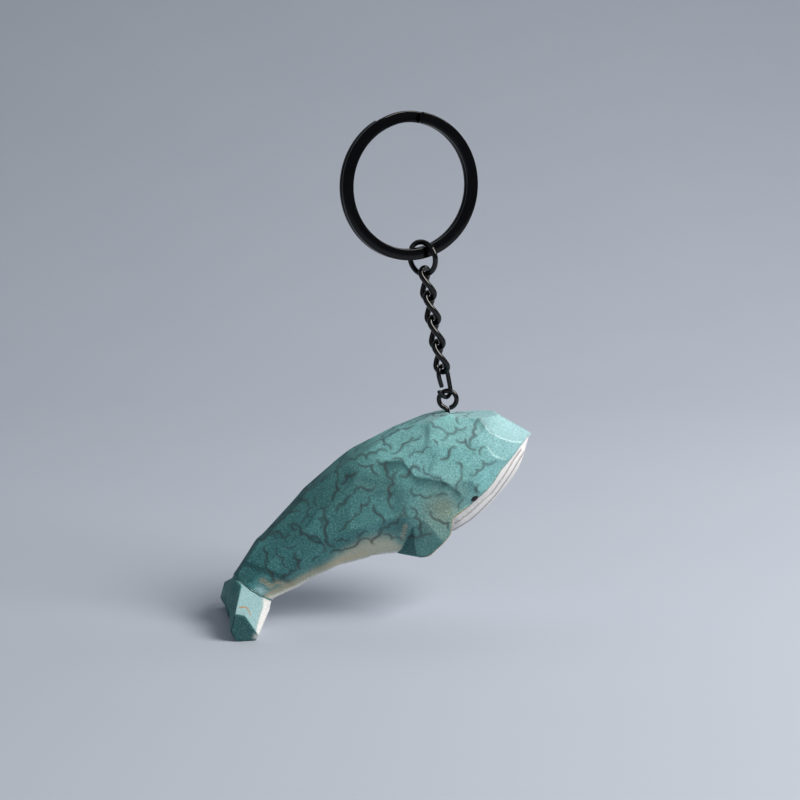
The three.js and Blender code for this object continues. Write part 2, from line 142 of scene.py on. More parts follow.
def meshObject(name, points, faces, material):
    mesh = bpy.data.meshes.new(name)
    mesh.from_pydata((points * mm).tolist(), [], faces)
    mesh.polygons.foreach_set("use_smooth", np.ones(len(mesh.polygons), bool))
    mesh.materials.append(material)
    mesh.update()
    return sceneObject(name, mesh)


# a mesh from a grid of points that is closed round its columns; open ends are shut with a fan
def surfaceObject(name, points, material, closedAlong=False, masks=None):
    rows, columns = points.shape[:2]
    index = np.arange(rows * columns).reshape(rows, columns)
    near = index if closedAlong else index[:-1]
    far = np.roll(index, -1, 0) if closedAlong else index[1:]
    quads = np.stack([near, np.roll(near, -1, 1), np.roll(far, -1, 1), far], -1).reshape(-1, 4)
    vertices = points.reshape(-1, 3)
    faces = quads.tolist()
    values = {key: np.asarray(value, float).reshape(-1) for key, value in (masks or {}).items()}
    if not closedAlong:
        for row, turnRound in ((index[0], True), (index[-1], False)):
            middle = len(vertices)
            vertices = np.vstack([vertices, vertices[row].mean(0)])
            values = {key: np.append(value, value[row].mean()) for key, value in values.items()}
            beside = np.roll(row, -1)
            first, second = (beside, row) if turnRound else (row, beside)
            faces += np.stack([first, second, np.full(columns, middle)], -1).tolist()
    corners = vertices[quads]
    volume = np.einsum("ij,ij->i", corners[:, 0], np.cross(corners[:, 1], corners[:, 2])).sum()
    volume += np.einsum("ij,ij->i", corners[:, 0], np.cross(corners[:, 2], corners[:, 3])).sum()
    if volume < 0:
        faces = [face[::-1] for face in faces]
    piece = meshObject(name, vertices, faces, material)
    setMasks(piece, values)
    return piece


# a flat profile carried along a path: its two axes stay square to the path,
# the second as close as it can be to the reference direction
def carried(path, reference, profile, closed=False, scale=None):
    ahead = np.roll(path, -1, 0) - np.roll(path, 1, 0) if closed else np.gradient(path, axis=0)
    ahead = unit(ahead)
    reference = np.broadcast_to(reference, path.shape)
    second = unit(reference - (reference * ahead).sum(-1, keepdims=True) * ahead)
    first = np.cross(second, ahead)
    size = np.ones(len(path)) if scale is None else scale
    flat = profile[None] * size[:, None, None]
    return path[:, None] + flat[..., :1] * first[:, None] + flat[..., 1:] * second[:, None]


# points round a circle, by cosine and sine
def circleProfile(diameter, sides):
    angle = np.linspace(0, 2 * np.pi, sides, endpoint=False)
    return diameter / 2 * np.stack([np.cos(angle), np.sin(angle)], -1)


# widths along an open wire that is filed round at its two cut ends
def filedEnds(path, rounding, takenOff=0.35):
    travelled = travelledAlong(path)
    fromEnd = np.minimum(travelled, travelled[-1] - travelled)
    return 1 - takenOff * (1 - np.clip(fromEnd / rounding, 0, 1)) ** 2


# colours and nodes

# sRGB hex to linear red, green, blue and full cover
def toLinear(hexColour):
    parts = [int(hexColour[i:i + 2], 16) / 255 for i in (1, 3, 5)]
    return [p / 12.92 if p <= 0.04045 else ((p + 0.055) / 1.055) ** 2.4 for p in parts] + [1.0]


# one node with its settings, a ramp's colour stops, and what feeds its sockets:
# another socket, the first output in use of another node, or a fixed value
def addNode(tree, kind, feeds=None, stops=(), **settings):
    node = tree.nodes.new(kind)
    for key, value in settings.items():
        setattr(node, key, value)
    for socket, source in (feeds or {}).items():
        if isinstance(source, bpy.types.Node):
            source = next(output for output in source.outputs if output.enabled)
        if isinstance(source, bpy.types.NodeSocket):
            tree.links.new(source, node.inputs[socket])
        else:
            node.inputs[socket].default_value = source
    for position, colour in stops[1:-1]:
        node.color_ramp.elements.new(position).color = toLinear(colour)
    for end in (0, -1) if stops else ():
        node.color_ramp.elements[end].position = stops[end][0]
        node.color_ramp.elements[end].color = toLinear(stops[end][1])
    return node


# a new material, its tree of nodes, and the socket that gives each point's place on the piece
def newMaterial(name):
    material = bpy.data.materials.new(name)
    material.use_nodes = True
    tree = material.node_tree
    tree.nodes.clear()
    return material, tree, addNode(tree, "ShaderNodeTexCoord").outputs["Object"]


# per metre scale of a noise whose blots are this many millimetres across
def perMetre(blot):
    return 1 / (blot * mm)


# a plain coat with soft blots: one noise sets its tone and, where a pair is given, its roughness
def blottedCoat(name, blot, detail, stops, roughness):
    material, tree, place = newMaterial(name)
    blots = addNode(tree, "ShaderNodeTexNoise", {"Vector": place, "Scale": perMetre(blot), "Detail": detail})
    tone = addNode(tree, "ShaderNodeValToRGB", {"Fac": blots}, stops)
    if isinstance(roughness, tuple):
        low, high = roughness
        roughness = addNode(tree, "ShaderNodeMapRange", {"Value": blots, "To Min": low, "To Max": high})
    shader = addNode(tree, "ShaderNodeBsdfPrincipled", {"Base Color": tone, "Roughness": roughness})
    addNode(tree, "ShaderNodeOutputMaterial", {"Surface": shader})
    return material


# black nickel plating on drawn steel wire: near black, glossy, with finger dulling and faint scuffs,
# which are drawn coarser than real ones so that they show
def blackPlating(name, look):
    material, tree, place = newMaterial(name)
    dulling = addNode(tree, "ShaderNodeTexNoise", {
        "Vector": place, "Scale": perMetre(look["dulling"]), "Detail": 4.0})
    scuffs = addNode(tree, "ShaderNodeTexNoise", {
        "Vector": place, "Scale": perMetre(look["scuff"]), "Detail": 6.0})
    roughness = addNode(tree, "ShaderNodeMapRange", {
        "Value": dulling, "From Min": 0.3, "From Max": 0.75,
        "To Min": look["roughness"][0], "To Max": look["roughness"][1]})
    tone = addNode(tree, "ShaderNodeValToRGB", {"Fac": scuffs}, look["tone"])
    relief = addNode(tree, "ShaderNodeBump", {
        "Height": scuffs, "Strength": 0.12, "Distance": look["scuffDepth"] * mm})
    shader = addNode(tree, "ShaderNodeBsdfPrincipled", {
        "Base Color": tone, "Roughness": roughness, "Normal": relief,
        "Metallic": look["metallic"], "Specular IOR Level": look["gloss"]})
    addNode(tree, "ShaderNodeOutputMaterial", {"Surface": shader})
    return material


platingLook = dict(tone=[(0.35, "#020203"), (0.8, "#060608")], roughness=(0.08, 0.18), metallic=0.0,
                   gloss=0.2, dulling=3.0, scuff=0.35, scuffDepth=0.02)
wireLook = dict(platingLook, roughness=(0.06, 0.14), gloss=0.4, dulling=1.5)
ringPlating = blackPlating("black nickel plated spring steel", platingLook)
wirePlating = blackPlating("black nickel plated drawn wire", wireLook)


# split ring: a flat wire wound twice, with a slanting stretch where it passes from one coil to the other
ring = dict(outerDiameter=30.0, wireWidth=2.3, wireThickness=1.0, coilGap=0.15, yaw=14.0, frontCut=82.0,
            backCut=118.0, cutClearance=2.5, cornerRadius=0.22, cornerSteps=5, stepAngle=1.5, filing=0.4)
ringInner = ring["outerDiameter"] / 2 - ring["wireWidth"]
ringCentre = np.array([0, 0, -ringInner])


# rectangle with rounded corners: four quarter circles one after another
def flatWireProfile(width, thickness, radius, steps):
    angle = np.linspace(0, np.pi / 2, steps)[None] + np.arange(4)[:, None] * np.pi / 2
    middle = np.array([[1, 1], [-1, 1], [-1, -1], [1, -1]]) * [width / 2 - radius, thickness / 2 - radius]
    corners = middle[:, None] + radius * np.stack([np.cos(angle), np.sin(angle)], -1)
    return corners.reshape(-1, 2)


# the wire's middle line: angle runs down through nearly two turns while the depth eases from coil to coil
def splitRingPath():
    rampStart = ring["backCut"] - ring["cutClearance"] - 360
    rampEnd = ring["frontCut"] + ring["cutClearance"] - 360
    backEnd = ring["backCut"] - 720
    count = int((ring["frontCut"] - backEnd) / ring["stepAngle"])
    angle = np.linspace(ring["frontCut"], backEnd, count)
    offset = (ring["wireThickness"] + ring["coilGap"]) / 2
    depth = -offset + 2 * offset * smoothStep(-rampStart, -rampEnd, -angle)
    radius = ringInner + ring["wireWidth"] / 2
    turn = np.radians(angle)
    return np.stack([radius * np.cos(turn), depth, radius * np.sin(turn)], -1)


ringPath = turnedAboutZ(splitRingPath(), ring["yaw"]) + ringCentre
ringProfile = flatWireProfile(
    ring["wireWidth"], ring["wireThickness"], ring["cornerRadius"], ring["cornerSteps"])
ringAxis = turnedAboutZ(yAxis, ring["yaw"])
ringLoop = carried(ringPath, ringAxis, ringProfile, scale=filedEnds(ringPath, ring["filing"]))
splitRing = surfaceObject("split_ring_flat_wire", ringLoop, ringPlating)
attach(splitRing, "split_ring")
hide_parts("split_ring")
print("split ring made")


# a downward direction that leans towards +X
def downwards(lean):
    return leaned([[0.0, 0.0, -1.0]], lean)[0]


# jump ring: an open circle of round wire, hung on the split ring
jump = dict(outerDiameter=7.8, wire=1.1, hangAngle=11.5, hangGap=0.5, lean=8.5, yaw=-51.0, cutAngle=146.0,
            cutWidth=0.4, steps=200, sides=28, filing=0.25)
jumpRadius = (jump["outerDiameter"] - jump["wire"]) / 2
hangPlace = turnedAboutZ([downwards(jump["hangAngle"]) * ringInner], ring["yaw"])[0] + ringCentre
jumpMiddle = hangPlace + downwards(jump["lean"]) * (jumpRadius - jump["wire"] / 2 - jump["hangGap"])


# points of a circle in the XZ plane, between two angles counted from +X towards +Z
def uprightArc(radius, start, end, count):
    angle = np.radians(np.linspace(start, end, count))
    return np.stack([radius * np.cos(angle), 0 * angle, radius * np.sin(angle)], -1)


halfCut = math.degrees(jump["cutWidth"] / 2 / jumpRadius)
jumpPath = uprightArc(jumpRadius, jump["cutAngle"] + halfCut, jump["cutAngle"] + 360 - halfCut, jump["steps"])
jumpPath = leaned(turnedAboutZ(jumpPath, jump["yaw"]), jump["lean"]) + jumpMiddle
jumpAxis = leaned(turnedAboutZ(yAxis, jump["yaw"]), jump["lean"])
jumpProfile = circleProfile(jump["wire"], jump["sides"])
jumpLoop = carried(jumpPath, jumpAxis, jumpProfile, scale=filedEnds(jumpPath, jump["filing"]))
jumpRing = surfaceObject("jump_ring_wire", jumpLoop, wirePlating)
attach(jumpRing, "jump_ring")
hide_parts("jump_ring")


# curb chain: oval loops of round wire, twisted a quarter turn from end to end
chain = dict(lean=10.6, count=4, wire=1.2, endRadius=1.6, length=6.5, gap=0.15, topTurn=45.0, twist=90.0,
             steps=160, sides=24)
endLink = dict(wire=0.95, length=6.6, turn=44.0, cutDepth=4.4, cutWidth=0.35, upperSplay=-0.3,
               lowerSplay=0.8, splayLength=2.2, steps=180, filing=0.2)
linkPitch = chain["length"] - chain["wire"] - chain["gap"]
chainTop = (jumpMiddle + downwards(jump["lean"]) * jumpRadius
            - downwards(chain["lean"]) * ((jump["wire"] + chain["wire"]) / 2 + chain["gap"]))


# length of the way round a link's middle line
def linkWay(length):
    return 2 * (np.pi * chain["endRadius"] + length - 2 * chain["endRadius"])


# middle line of a link and the direction across it: two half circles and two straights, the way round
# counted from the top, with everything turned about the link's length by an angle that eases with depth
def linkPath(way, length, topTurn, twist, outward=0.0):
    radius = chain["endRadius"]
    bend = np.pi / 2 * radius
    straight = length - 2 * radius
    wayRound = linkWay(length)
    way = np.mod(way, wayRound)
    goingDown = way < wayRound / 2
    travelled = np.where(goingDown, way, wayRound - way)
    intoTop = np.minimum(travelled, bend) / radius
    intoStraight = np.clip(travelled - bend, 0, straight)
    intoBottom = np.maximum(travelled - bend - straight, 0) / radius
    depth = radius * (1 - np.cos(intoTop) + np.sin(intoBottom)) + intoStraight
    reach = radius * np.sin(intoTop) * np.cos(intoBottom) + outward
    turn = np.radians(topTurn + twist * smoothStep(0, length, depth))
    side = np.where(goingDown, reach, -reach)
    middle = np.stack([side * np.cos(turn), side * np.sin(turn), -depth], -1)
    across = np.stack([-np.sin(turn), np.cos(turn), 0 * turn], -1)
    return middle, across


curbWay = np.linspace(0, linkWay(chain["length"]), chain["steps"], endpoint=False)
curbMiddle, curbAcross = linkPath(curbWay, chain["length"], chain["topTurn"], chain["twist"])
curbProfile = circleProfile(chain["wire"], chain["sides"])
for number in range(chain["count"]):
    hung = leaned(curbMiddle - [0, 0, number * linkPitch], chain["lean"]) + chainTop
    loop = carried(hung, leaned(curbAcross, chain["lean"]), curbProfile, closed=True)
    link = surfaceObject(f"curb_link_wire_{number + 1}", loop, wirePlating, closedAlong=True)
    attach(link, f"link_{number + 1}")
    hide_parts(f"curb_link_{number + 1}")

# end link: plain, cut through its second strand, whose lower end is sprung outwards and upper end bent in
endDrop = chain["count"] * linkPitch + (chain["wire"] - endLink["wire"]) / 2
endWayRound = linkWay(endLink["length"])
endCut = endWayRound - np.pi / 2 * chain["endRadius"] - (endLink["cutDepth"] - chain["endRadius"])
endStart = endCut + endLink["cutWidth"] / 2
endWay = endStart + np.linspace(0, endWayRound - endLink["cutWidth"], endLink["steps"])
sprung = endLink["upperSplay"] * (1 - smoothStep(0, endLink["splayLength"], endWay - endStart))
sprung = sprung + endLink["lowerSplay"] * (1 - smoothStep(0, endLink["splayLength"], endWay[-1] - endWay))
endMiddle, endAcross = linkPath(endWay, endLink["length"], endLink["turn"], 0.0, sprung)
endPath = leaned(endMiddle - [0, 0, endDrop], chain["lean"]) + chainTop
endLoop = carried(endPath, leaned(endAcross, chain["lean"]), circleProfile(endLink["wire"], chain["sides"]),
                  scale=filedEnds(endPath, endLink["filing"]))
openLink = surfaceObject("end_link_wire", endLoop, wirePlating)
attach(openLink, "end_link")
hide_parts("end_link")
print("jump ring and chain made")


# screw eye: one wire that goes round from its free end, bends down and becomes the pointed shank
eye = dict(outerDiameter=4.65, wire=1.0, neck=0.8, hangGap=0.3, yaw=-12.0, freeEnd=-80.0, bendStart=246.0,
           handle=0.42, shank=1.3, shankLift=0.1, shankLength=8.0, widening=(-0.2, 0.6), point=(-0.1, 1.6),
           pointWidth=0.06, loopSteps=150, bendSteps=40, shankSteps=40, filedSteps=60, sides=26, filing=0.22)
eyeRadius = (eye["outerDiameter"] - eye["wire"]) / 2
seatDepth = eye["outerDiameter"] / 2 + eye["neck"]
eyeReach = endDrop + endLink["length"] - (endLink["wire"] + eye["wire"]) / 2 - eye["hangGap"] + eyeRadius
eyeMiddle = chainTop + downwards(chain["lean"]) * eyeReach
eyeFoot = eyeMiddle - [0, 0, seatDepth]


# cubic from one point and direction to another, its two handles a set share of the straight way long
def bendBetween(start, startAhead, end, endAhead, count):
    reach = np.linalg.norm(end - start) * eye["handle"]
    share = np.linspace(0, 1, count)[:, None]
    one, two = start + reach * startAhead, end - reach * endAhead
    return ((1 - share) ** 3 * start + 3 * (1 - share) ** 2 * share * one
            + 3 * (1 - share) * share ** 2 * two + share ** 3 * end)


# an arc from the free end, a cubic bend and a straight shank, end to end
def screwEyePath():
    loop = uprightArc(eyeRadius, eye["freeEnd"], eye["bendStart"], eye["loopSteps"])
    turn = math.radians(eye["bendStart"])
    loopAhead = np.array([-math.sin(turn), 0, math.cos(turn)])
    down = np.array([0, 0, -1.0])
    shankTop = (seatDepth - eye["shankLift"]) * down
    bend = bendBetween(loop[-1], loopAhead, shankTop, down, eye["bendSteps"])
    shank = shankTop + np.linspace(0, eye["shankLength"], eye["shankSteps"])[1:, None] * down
    return np.vstack([loop, bend[1:], shank])


eyePath = screwEyePath()
belowSeat = -seatDepth - eyePath[:, 2]
toPoint = eye["shankLength"] - belowSeat
eyeWidth = 1 + (eye["shank"] / eye["wire"] - 1) * smoothStep(*eye["widening"], belowSeat)
eyeWidth *= eye["pointWidth"] + (1 - eye["pointWidth"]) * smoothStep(*eye["point"], toPoint)
filed = eye["filedSteps"]
eyeWidth[:filed] *= filedEnds(eyePath, eye["filing"])[:filed]
eyeLoop = carried(eyePath, yAxis, circleProfile(eye["wire"], eye["sides"]), scale=eyeWidth)
screwEye = surfaceObject("screw_eye_wire", turnedAboutZ(eyeLoop, eye["yaw"]) + eyeMiddle, wirePlating)
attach(screwEye, "whale")
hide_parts("screw_eye")
print("screw eye made")


# whale's body, measured from the foot of the screw eye; ribs run from the tail to the snout
whale = dict(
    ribs=[  # back x, back z, keel x, keel z, half width
        [-44.8, -32.2, -37.2, -37.5, 4.0],
        [-40.2, -25.5, -32.3, -35.5, 5.2],
        [-35.4, -20.8, -27.9, -32.8, 6.8],
        [-29.6, -14.9, -23.2, -30.6, 8.6],
        [-23.4, -10.0, -18.5, -29.3, 10.0],
        [-16.8, -5.7, -13.8, -28.4, 11.0],
        [-9.8, -2.6, -8.3, -28.0, 11.5],
        [-2.3, -0.1, -2.3, -25.9, 11.6],
        [3.7, -0.1, 4.2, -22.4, 11.0],
        [9.7, -0.3, 9.7, -17.8, 8.8],
        [14.2, -2.3, 14.6, -12.2, 5.5],
        [17.8, -4.6, 17.5, -5.2, 0.9],
    ],
    section=[  # share of the half width, height from -1 at the keel to 1 at the back
        [0, 1.01], [0.36, 0.98], [0.78, 0.61], [1, 0.08], [0.87, -0.5], [0.44, -0.96], [0, -1.02],
    ],
    rows=300, columns=272,
    backCuts=[0.05, 0.18, 0.32, 0.46, 0.61, 0.765, 0.9],  # shares of the way from tail to snout
    # way along from tail to snout, way round from the back, how much further forward and round it faces
    sideCuts=[
        [0.07, 0.15, 0, 0], [0.175, 0.135, 0, 0], [0.3, 0.115, -0.03, 0], [0.5, 0.125, 0.05, -0.015],
        [0.65, 0.135, 0.02, -0.015], [0.85, 0.13, 0, 0], [0.06, 0.26, 0, 0], [0.17, 0.235, 0, 0],
        [0.292, 0.222, 0, 0], [0.425, 0.226, -0.01, 0.015], [0.535, 0.24, 0, 0.015], [0.675, 0.215, 0.01, 0],
        [0.735, 0.19, 0, 0], [0.83, 0.215, 0, 0], [0.775, 0.27, 0.02, 0],
        [0.12, 0.345, 0, 0], [0.22, 0.325, 0, 0], [0.335, 0.335, 0, 0], [0.46, 0.34, 0, 0],
        [0.635, 0.295, 0, 0.01], [0.71, 0.345, 0, 0], [0.87, 0.31, 0, 0], [0.08, 0.44, 0, 0],
        [0.2, 0.445, 0, 0], [0.33, 0.45, 0, 0], [0.47, 0.45, 0, 0], [0.62, 0.44, 0, 0],
        [0.76, 0.43, 0, 0], [0.86, 0.42, 0, 0],
    ],
    seenCuts=[[0.515, 0.168, -0.05, 0.037]],  # on the photographed side only
    cutDepth=0.42, backDepth=0.15, cutJitter=0.012, cutLength=0.66, cutEdge=1.3, cutFavour=0.2,
    cutReach=(-1.4, 0.35), cutSlope=0.35, endRows=2, tailEnd=(0, 0.03), snoutEnd=(0.95, 1.0), seed=11,
)
jaw = dict(
    line=[[18.4, -4.75], [16.5, -4.85], [14.4, -6.0], [12.5, -7.75], [11.0, -9.1], [9.5, -10.5],
          [7.86, -12.8], [6.2, -14.45], [4.6, -15.85], [3.4, -16.9], [1.7, -18.3], [-0.6, -19.5],
          [-2.0, -22.5]],
    pleats=[
        [[14.6, -7.1], [12.64, -8.95], [10.16, -12.4], [7.9, -15.5], [5.67, -17.12], [3.02, -19.6],
         [0.2, -21.7]],
        [[15.6, -7.9], [13.75, -9.87], [11.48, -13.07], [9.15, -16.49], [6.84, -18.82], [4.04, -21.54],
         [0.0, -23.75]],
    ],
    below=[[-2.0, -40.0], [30.0, -40.0], [30.0, -4.9]], scraped=-0.3, scrapedEdge=(-0.8, 0.3),
    lipStep=(0.2, 0.9), lipDeepens=(0.4, 0.9), lipStart=(-3.5, -0.5), lipWidth=0.4, lipFade=0.9,
    lipFades=(0.8, 3.2), pleatDepth=0.25, pleatWidth=0.3, pleatStart=(0, 0.1),
)
throatOutline = jaw["line"] + jaw["below"]


# the smooth body: a closed section, its width and height set by the ribs, stood on each rib in turn
def smoothBody():
    ribs = np.array(whale["ribs"])
    half = np.array(whale["section"])
    ringOfKnots = np.vstack([half, half[-2:0:-1] * [-1, 1]])
    ribPlace = np.linspace(0, len(ribs) - 1, whale["rows"])
    around = np.linspace(0, len(ringOfKnots), whale["columns"], endpoint=False)
    rib = curveThrough(ribs, ribPlace)
    section = curveThrough(ringOfKnots, around, closed=True)
    back, keel = rib[:, [0, 1]], rib[:, [2, 3]]
    middle = (back + keel) / 2
    upright = (back - keel) / 2
    centre = np.stack([middle[:, 0], 0 * middle[:, 0], middle[:, 1]], -1)
    across, height = section[:, 0], section[:, 1]
    points = np.stack([
        centre[:, None, 0] + upright[:, None, 0] * height,
        rib[:, None, 4] * across,
        centre[:, None, 2] + upright[:, None, 1] * height], -1)
    return points, centre, ribPlace / (len(ribs) - 1)


# directions square to a grid of points: the cross product of its two step directions, turned outwards
def gridNormals(points, centre):
    alongStep = np.gradient(points, axis=0)
    aroundStep = np.roll(points, -1, 1) - np.roll(points, 1, 1)
    normals = unit(np.cross(alongStep, aroundStep))
    return normals if (normals * (points - centre[:, None])).sum() > 0 else -normals


# knife facets: each point moves along its ray from the spine to the plane of the nearest cut, with a narrow
# blend where two cuts meet; nearness counts lengths along the body as shorter and favours the deeper cut
def knifeCut(points, centre, share):
    random = np.random.default_rng(whale["seed"])
    normals = gridNormals(points, centre)
    side = np.array(whale["sideCuts"])
    back = np.array(whale["backCuts"])[:, None] * [1, 0, 0, 0]
    otherSide = side * [1, -1, 1, -1] + random.normal(0, whale["cutJitter"], side.shape)
    cuts = np.vstack([back, side, whale["seenCuts"], otherSide])
    lastRow = whale["rows"] - 1 - whale["endRows"]
    row = np.clip((cuts[:, 0] * whale["rows"]).astype(int), whale["endRows"], lastRow)
    column = np.round(-cuts[:, 1] * whale["columns"]).astype(int) % whale["columns"]
    facingRow = np.clip(row + np.round(cuts[:, 2] * whale["rows"]).astype(int), whale["endRows"], lastRow)
    facingColumn = (column - np.round(cuts[:, 3] * whale["columns"]).astype(int)) % whale["columns"]
    facing = normals[facingRow, facingColumn]
    depth = np.full(len(row), whale["cutDepth"])
    depth[:len(back)] = whale["backDepth"]
    cutPlace = points[row, column] - depth[:, None] * facing
    travelled = travelledAlong(centre)
    overMiddle = np.linalg.norm(points[..., [0, 2]] - centre[:, None, [0, 2]], axis=-1)
    overMiddle = overMiddle * np.sign(points[..., 2] - centre[:, None, 2])
    alongBody = np.broadcast_to(travelled[:, None] * whale["cutLength"], points.shape[:2])
    straightened = np.stack([alongBody, points[..., 1], overMiddle], -1)
    apart = ((straightened[:, :, None] - straightened[row, column]) ** 2).sum(-1)
    ray = points - centre[:, None]
    reach = np.linalg.norm(ray, axis=-1)
    ray = ray / reach[..., None]
    toPlane = (cutPlace * facing).sum(-1) - centre @ facing.T
    cutReach = toPlane[:, None] / np.maximum(ray @ facing.T, whale["cutSlope"])
    moved = np.clip(cutReach - reach[..., None], *whale["cutReach"])
    cost = apart / (2 * whale["cutEdge"] ** 2) + moved / whale["cutFavour"]
    weight = np.exp(cost.min(-1, keepdims=True) - cost)
    weight /= weight.sum(-1, keepdims=True)
    ends = smoothStep(*whale["tailEnd"], share) * (1 - smoothStep(*whale["snoutEnd"], share))
    fromLip = outlineDistance(points[..., [0, 2]], throatOutline)
    scraped = 1 - smoothStep(*jaw["scrapedEdge"], fromLip)  # the throat is scraped smooth after the knife
    carved = (weight * moved).sum(-1) * (1 - scraped) + jaw["scraped"] * scraped
    return points + ray * (carved * ends[:, None])[..., None]


# throat: the skin below the mouth line steps in, more towards the corner of the mouth, and comes out again
# further down; each pleat is a groove whose depth falls off with distance
def throatCut(points, centre):
    sideView = points[..., [0, 2]]
    fromLip = outlineDistance(sideView, throatOutline)
    alongLip = lineDistance(sideView, jaw["line"])[1]
    step = np.interp(smoothStep(*jaw["lipDeepens"], alongLip), (0, 1), jaw["lipStep"])
    inwards = step * (1 - smoothStep(-jaw["lipWidth"], 0, fromLip))
    inwards = inwards * smoothStep(*jaw["lipStart"], sideView[..., 0])
    inwards = inwards * (1 - jaw["lipFade"] * smoothStep(*jaw["lipFades"], -fromLip))
    for pleat in jaw["pleats"]:
        gap, place = lineDistance(sideView, pleat)
        groove = np.exp(-(gap / jaw["pleatWidth"]) ** 2) * smoothStep(*jaw["pleatStart"], place)
        inwards = inwards + jaw["pleatDepth"] * groove
    return points - gridNormals(points, centre) * inwards[..., None]


bodyPoints, spine, bodyShare = smoothBody()
bodyPoints = knifeCut(bodyPoints, spine, bodyShare)
bodyPoints = throatCut(bodyPoints, spine)
print("whale's body carved,", bodyPoints.shape[0] * bodyPoints.shape[1], "points")

# flippers: a leaf-shaped relief on each side, flush with the cheek at its top and standing proud at its tip
flipper = dict(
    outline=[[-4.2, -13.2], [-9.0, -15.2], [-10.3, -18.2], [-9.5, -21.6], [-9.0, -26.1], [-8.3, -27.7],
             [-6.0, -27.6], [-4.2, -26.0], [-1.75, -23.4], [-1.15, -21.8], [-1.0, -20.5], [-0.6, -19.6],
             [1.6, -18.2], [3.6, -16.7], [3.4, -15.3]],
    reach=10.3, level=-17.5, flare=0.1, cheekTurn=0.12, cheekStart=-2.0, rootReach=6.0,
    foldPlace=[-6.3, -20.7], foldAway=[-0.771, -0.637], foldTurn=0.26, foldSoftness=0.15,
    sweep=3.2, swept=(-17.0, -24.0), rounding=0.5, hub=0.02,
    around=230, faceRings=26, edgeRings=7, wallRings=12, rootRings=6, paintSteps=60,
)


# a flipper's outline in side view, as this many points
def flipperRim(count):
    knots = flipper["outline"]
    return curveThrough(knots, np.linspace(0, len(knots), count, endpoint=False), closed=True)


# distance behind the fold: the offset from a place on it, measured along the direction away from it
def behindFold(sideView):
    return (sideView - flipper["foldPlace"]) @ np.array(flipper["foldAway"])


# outer face of a flipper: a plane that flares towards the tip and follows the cheek's turn in front,
# met along a fold by a second plane that falls away towards the rear and the tip
def flipperReach(sideView):
    x, z = sideView[..., 0], sideView[..., 1]
    front = flipper["reach"] + flipper["flare"] * (flipper["level"] - z)
    front = front - flipper["cheekTurn"] * np.maximum(x - flipper["cheekStart"], 0)
    soft = flipper["foldSoftness"]
    return front - flipper["foldTurn"] * soft * np.logaddexp(0, behindFold(sideView) / soft)


# leaf: rings of one outline, from a point in the middle of the outer face over the rounded rim
# and down the wall, which leans back towards the tail, to a point in the middle of the root
def flipperGrid(side):
    rim = flipperRim(flipper["around"])
    middle = rim.mean(0)
    meanReach = np.linalg.norm(rim - middle, axis=1).mean()
    inset = flipper["rounding"] / meanReach
    turn = np.linspace(0, np.pi / 2, flipper["edgeRings"])
    scale = np.concatenate([
        np.linspace(flipper["hub"], 1 - inset, flipper["faceRings"])[:-1],
        1 - inset + inset * np.sin(turn),
        np.ones(flipper["wallRings"] - 1),
        np.linspace(1, flipper["hub"], flipper["rootRings"])[1:]])
    drop = np.concatenate([
        np.zeros(flipper["faceRings"] - 1),
        flipper["rounding"] * (1 - np.cos(turn)),
        np.full(flipper["wallRings"] - 1 + flipper["rootRings"] - 1, flipper["rounding"])])
    inward = np.concatenate([
        np.zeros(flipper["faceRings"] - 1 + flipper["edgeRings"]),
        np.linspace(0, 1, flipper["wallRings"])[1:],
        np.ones(flipper["rootRings"] - 1)])
    flat = middle + scale[:, None, None] * (rim - middle)
    outer = flipperReach(flat) - drop[:, None]
    reach = outer + (flipper["rootReach"] - outer) * inward[:, None]
    sweep = flipper["sweep"] * smoothStep(*flipper["swept"], flat[..., 1])
    return np.stack([flat[..., 0] - sweep * inward[:, None], side * reach, flat[..., 1]], -1)


# one closed skin from several that overlap; the mask is 0 on the first one's points and 1 on the others'
def joinedSkin(name, parts, material, mask):
    pieces = []
    for number, part in enumerate(parts):
        masks = {mask: np.full(part.shape[:2], number > 0)}
        pieces.append(surfaceObject(f"{name}_{number}", part, material, masks=masks))
    for other in pieces[1:]:
        join = pieces[0].modifiers.new("join", "BOOLEAN")
        join.operation = "UNION"
        join.solver = "MANIFOLD"
        join.object = other
    evaluated = pieces[0].evaluated_get(bpy.context.evaluated_depsgraph_get())
    mesh = bpy.data.meshes.new_from_object(evaluated)
    for piece in pieces:
        bpy.data.objects.remove(piece)
    mesh.name = name
    return sceneObject(name, mesh)


